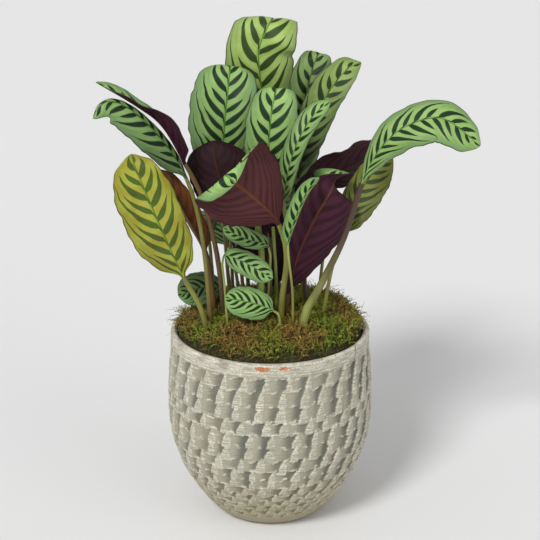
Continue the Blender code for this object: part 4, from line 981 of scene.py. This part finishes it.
# The yellower ground and bars stand partly for yellowed leaves and partly for painted glow where light shines through a
# blade.
yellowed_and_backlit_ground = upper_side.mix(upper_side.soft(mottle, 0.35, 0.65), (0.38, 0.34, 0.020), (0.46, 0.46, 0.05))
yellowed_and_backlit_bar = upper_side.mix(upper_side.soft(mottle, 0.3, 0.7), (0.075, 0.095, 0.006), (0.085, 0.170, 0.008))
pale = upper_side.mix(yellowing_and_backlight, pale, yellowed_and_backlit_ground)
deep = upper_side.mix(upper_side.math("MULTIPLY", yellowing_and_backlight, 0.9), deep, yellowed_and_backlit_bar)
patterned = upper_side.mix(barred, pale, deep)
veined = upper_side.mix(upper_side.soft(fine_veins, 0.2, 1.0, 0.0, 0.12), patterned, (0.02, 0.08, 0.01))
midrib = upper_side.math("MULTIPLY", upper_side.soft(out, 0.012, 0.034, 1.0, 0.0), 0.90)
veined = upper_side.mix(midrib, veined, (0.075, 0.220, 0.010))
rim = upper_side.math("MULTIPLY", upper_side.soft(out, 0.955, 0.985), 0.85)
veined = upper_side.mix(rim, veined, (0.022, 0.050, 0.012))
# The upper side's colour is scaled by the painted light level.
painted_light_scaler = upper_side.tree.nodes.new("ShaderNodeVectorMath")
painted_light_scaler.operation = "SCALE"
upper_side.put(painted_light_scaler.inputs[0], veined)
upper_side.put(painted_light_scaler.inputs["Scale"], painted_light_level)
upper_side.colour(painted_light_scaler.outputs[0])
upper_side.bump(upper_side.math("ADD", upper_side.math("MULTIPLY", fine_veins, 0.5), mottle), 0.0003, 0.6)

underside = Finish("leaf_underside", 0.55)
underside.shader.inputs["Specular IOR Level"].default_value = 0.18
number_on, out = underside.parts_of("bars", "map")[:2]
yellowing_and_backlight, painted_light_level, warmth = underside.parts_of("tint_and_painted_light")
fine_veins = underside.math("SINE", underside.math("MULTIPLY", number_on, 44.0))
mottle = underside.noise(55.0, 4.0)
banded = underside.soft(underside.math("COSINE", underside.math("MULTIPLY", number_on, 6.2832)), -0.6, 0.9)
banded = underside.math("MULTIPLY", banded, underside.soft(mottle, 0.3, 0.7, 0.5, 1.0))
wine = underside.mix(banded, (0.062, 0.012, 0.036), (0.026, 0.005, 0.013))
brown = underside.mix(banded, (0.250, 0.090, 0.022), (0.150, 0.050, 0.014))
wine = underside.mix(warmth, wine, brown)
wine = underside.mix(underside.soft(fine_veins, 0.1, 1.0, 0.0, 0.25), wine, (0.012, 0.002, 0.005))
rib = underside.soft(out, 0.02, 0.06, 1.0, 0.0)
wine = underside.mix(underside.math("MULTIPLY", rib, 0.8), wine, (0.150, 0.052, 0.016))
# The underside's colour is scaled by the painted light level as well.
painted_light_scaler = underside.tree.nodes.new("ShaderNodeVectorMath")
painted_light_scaler.operation = "SCALE"
underside.put(painted_light_scaler.inputs[0], wine)
underside.put(painted_light_scaler.inputs["Scale"], painted_light_level)
underside.colour(painted_light_scaler.outputs[0])
underside.bump(underside.math("ADD", underside.math("MULTIPLY", fine_veins, 0.5), mottle), 0.0003, 0.6)

margin = Finish("leaf_edge", 0.50)
worn = margin.noise(150.0, 3.0)
margin.colour(margin.mix(margin.soft(worn, 0.4, 0.75), (0.030, 0.055, 0.015), (0.160, 0.120, 0.045)))

stalk_skin = Finish("leaf_stalk", 0.42)
run_up, round_it = stalk_skin.parts_of("blade", "map")[:2]
lines = stalk_skin.math("SINE", stalk_skin.math("MULTIPLY", round_it, 75.0))
blotches = stalk_skin.noise(110.0, 4.0, stalk_skin.place((1.0, 1.0, 0.25)))
tone = stalk_skin.colour_of("stalk_tone")
tone = stalk_skin.mix(stalk_skin.soft(blotches, 0.35, 0.7, 0.0, 0.45), tone, (0.050, 0.022, 0.010))
tone = stalk_skin.mix(stalk_skin.soft(lines, 0.0, 1.0, 0.0, 0.18), tone, (0.30, 0.26, 0.08))
stalk_skin.colour(tone)
stalk_skin.bump(lines, 0.0002, 0.5)

for number, (name, spec) in enumerate(LEAVES.items()):
    piece = leaf_piece(name, spec, number + 1)
    for finish in (upper_side, underside, margin, stalk_skin):
        piece.data.materials.append(finish.material)
    keep(piece, "blade_and_stalk_%s" % name[-2:], name)

# Two stalks whose leaves were cut away. Each is a plain round stalk with a pale cut face on top.
CUT_STALKS = {
    "cut_stalk_1": (((-12.0, -28.0, 126.0), (-8.0, -25.5, 190.0), (-6.5, -22.5, 225.0), (-9.8, -18.5, 256.0)),
                    2.6, 2.8),
    "cut_stalk_2": (((6.0, -14.0, 126.0), (5.0, -17.5, 205.0), (3.5, -19.5, 235.0), (2.5, -20.0, 253.5)),
                    1.3, 1.3),
}
CUT_SIDES = 20
CUT_ROWS = 30
cut_skin = Finish("cut_stalk", 0.45)
streak = cut_skin.noise(90.0, 4.0, cut_skin.place((1.0, 1.0, 0.2)))
cut_skin.colour(cut_skin.mix(cut_skin.soft(streak, 0.35, 0.65), (0.10, 0.13, 0.015), (0.30, 0.38, 0.06)))
cut_face = Finish("cut_face", 0.60)
cut_face.colour(cut_face.mix(cut_face.noise(600.0), (0.36, 0.44, 0.20), (0.55, 0.60, 0.34)))
for name, (route, foot_radius, top_radius) in CUT_STALKS.items():
    dense, run = smooth_route(route, 12)
    lengths = np.linspace(0.0, run[-1], CUT_ROWS + 1)
    path = np.stack([np.interp(lengths, run, dense[:, axis]) for axis in range(3)], -1)
    bpy.ops.object.select_all(action="DESELECT")
    bpy.ops.mesh.primitive_circle_add(vertices=CUT_SIDES, radius=foot_radius * MM, fill_type="NGON",
                                      location=(path[0] * MM).tolist())
    piece = bpy.context.object
    bpy.ops.object.transform_apply(location=True, rotation=True, scale=True)
    bpy.ops.object.mode_set(mode="EDIT")
    bpy.ops.mesh.select_all(action="SELECT")
    for start, end in zip(path, path[1:]):
        bpy.ops.mesh.extrude_region_move(TRANSFORM_OT_translate={"value": ((end - start) * MM).tolist()})
    grow = top_radius / foot_radius
    bpy.ops.transform.resize(value=(grow, grow, 1.0))
    bpy.ops.mesh.bevel(offset=0.0003, segments=2, affect="EDGES")
    bpy.ops.mesh.select_all(action="SELECT")
    bpy.ops.mesh.normals_make_consistent(inside=False)
    bpy.ops.object.mode_set(mode="OBJECT")
    piece.data.materials.append(cut_skin.material)
    piece.data.materials.append(cut_face.material)
    for face in piece.data.polygons:
        face.material_index = int(face.normal.z > 0.7 and face.center.z > (path[-1][2] - 1.0) * MM)
    bpy.ops.object.shade_smooth_by_angle(angle=math.radians(40.0))
    keep(piece, "trimmed_" + name, name)

# The stage: a plain pale floor, soft light from the upper left front, and the camera at the photo's angle.
bpy.ops.object.select_all(action="DESELECT")
bpy.ops.mesh.primitive_plane_add(size=12.0, location=(0.0, 0.0, -0.0002))
ground_plane = bpy.context.object
ground_plane.name = "floor"
pale_floor = Finish("pale_floor", 0.9)
pale_floor.colour(pale_floor.mix(pale_floor.noise(3.0), (0.82, 0.82, 0.82), (0.84, 0.84, 0.84)))
ground_plane.data.materials.append(pale_floor.material)


def aimed(light, name, place, aim):
    made = bpy.data.objects.new(name, light)
    bpy.context.scene.collection.objects.link(made)
    made.location = place
    reach_to = [goal - here for goal, here in zip(aim, place)]
    flat_reach = math.hypot(reach_to[0], reach_to[1])
    made.rotation_euler = (math.atan2(flat_reach, -reach_to[2]), 0.0, math.atan2(reach_to[1], reach_to[0]) - math.pi / 2)


key_light = bpy.data.lights.new("key_light", "SUN")
key_light.energy = 1.9
key_light.angle = math.radians(16.0)
aimed(key_light, "key_light", (-0.7, -1.2, 1.5), (0.0, 0.0, 0.2))
fill_light = bpy.data.lights.new("fill_light", "SUN")
fill_light.energy = 0.35
fill_light.angle = math.radians(40.0)
aimed(fill_light, "fill_light", (1.2, -1.0, 0.9), (0.0, 0.0, 0.2))
world = bpy.data.worlds.new("studio")
bpy.context.scene.world = world
world.use_nodes = True
world.node_tree.nodes["Background"].inputs["Color"].default_value = (1.0, 1.0, 1.0, 1.0)
world.node_tree.nodes["Background"].inputs["Strength"].default_value = 0.50

camera_data = bpy.data.cameras.new("photo_camera")
camera_data.sensor_width = 36.0
camera_data.lens = 103.13
camera = bpy.data.objects.new("photo_camera", camera_data)
bpy.context.scene.collection.objects.link(camera)
camera.location = (0.0, -1.1840, 0.6409)
camera.rotation_euler = (math.radians(70.0), 0.0, 0.0)
bpy.context.scene.camera = camera
bpy.context.scene.view_settings.view_transform = "Standard"
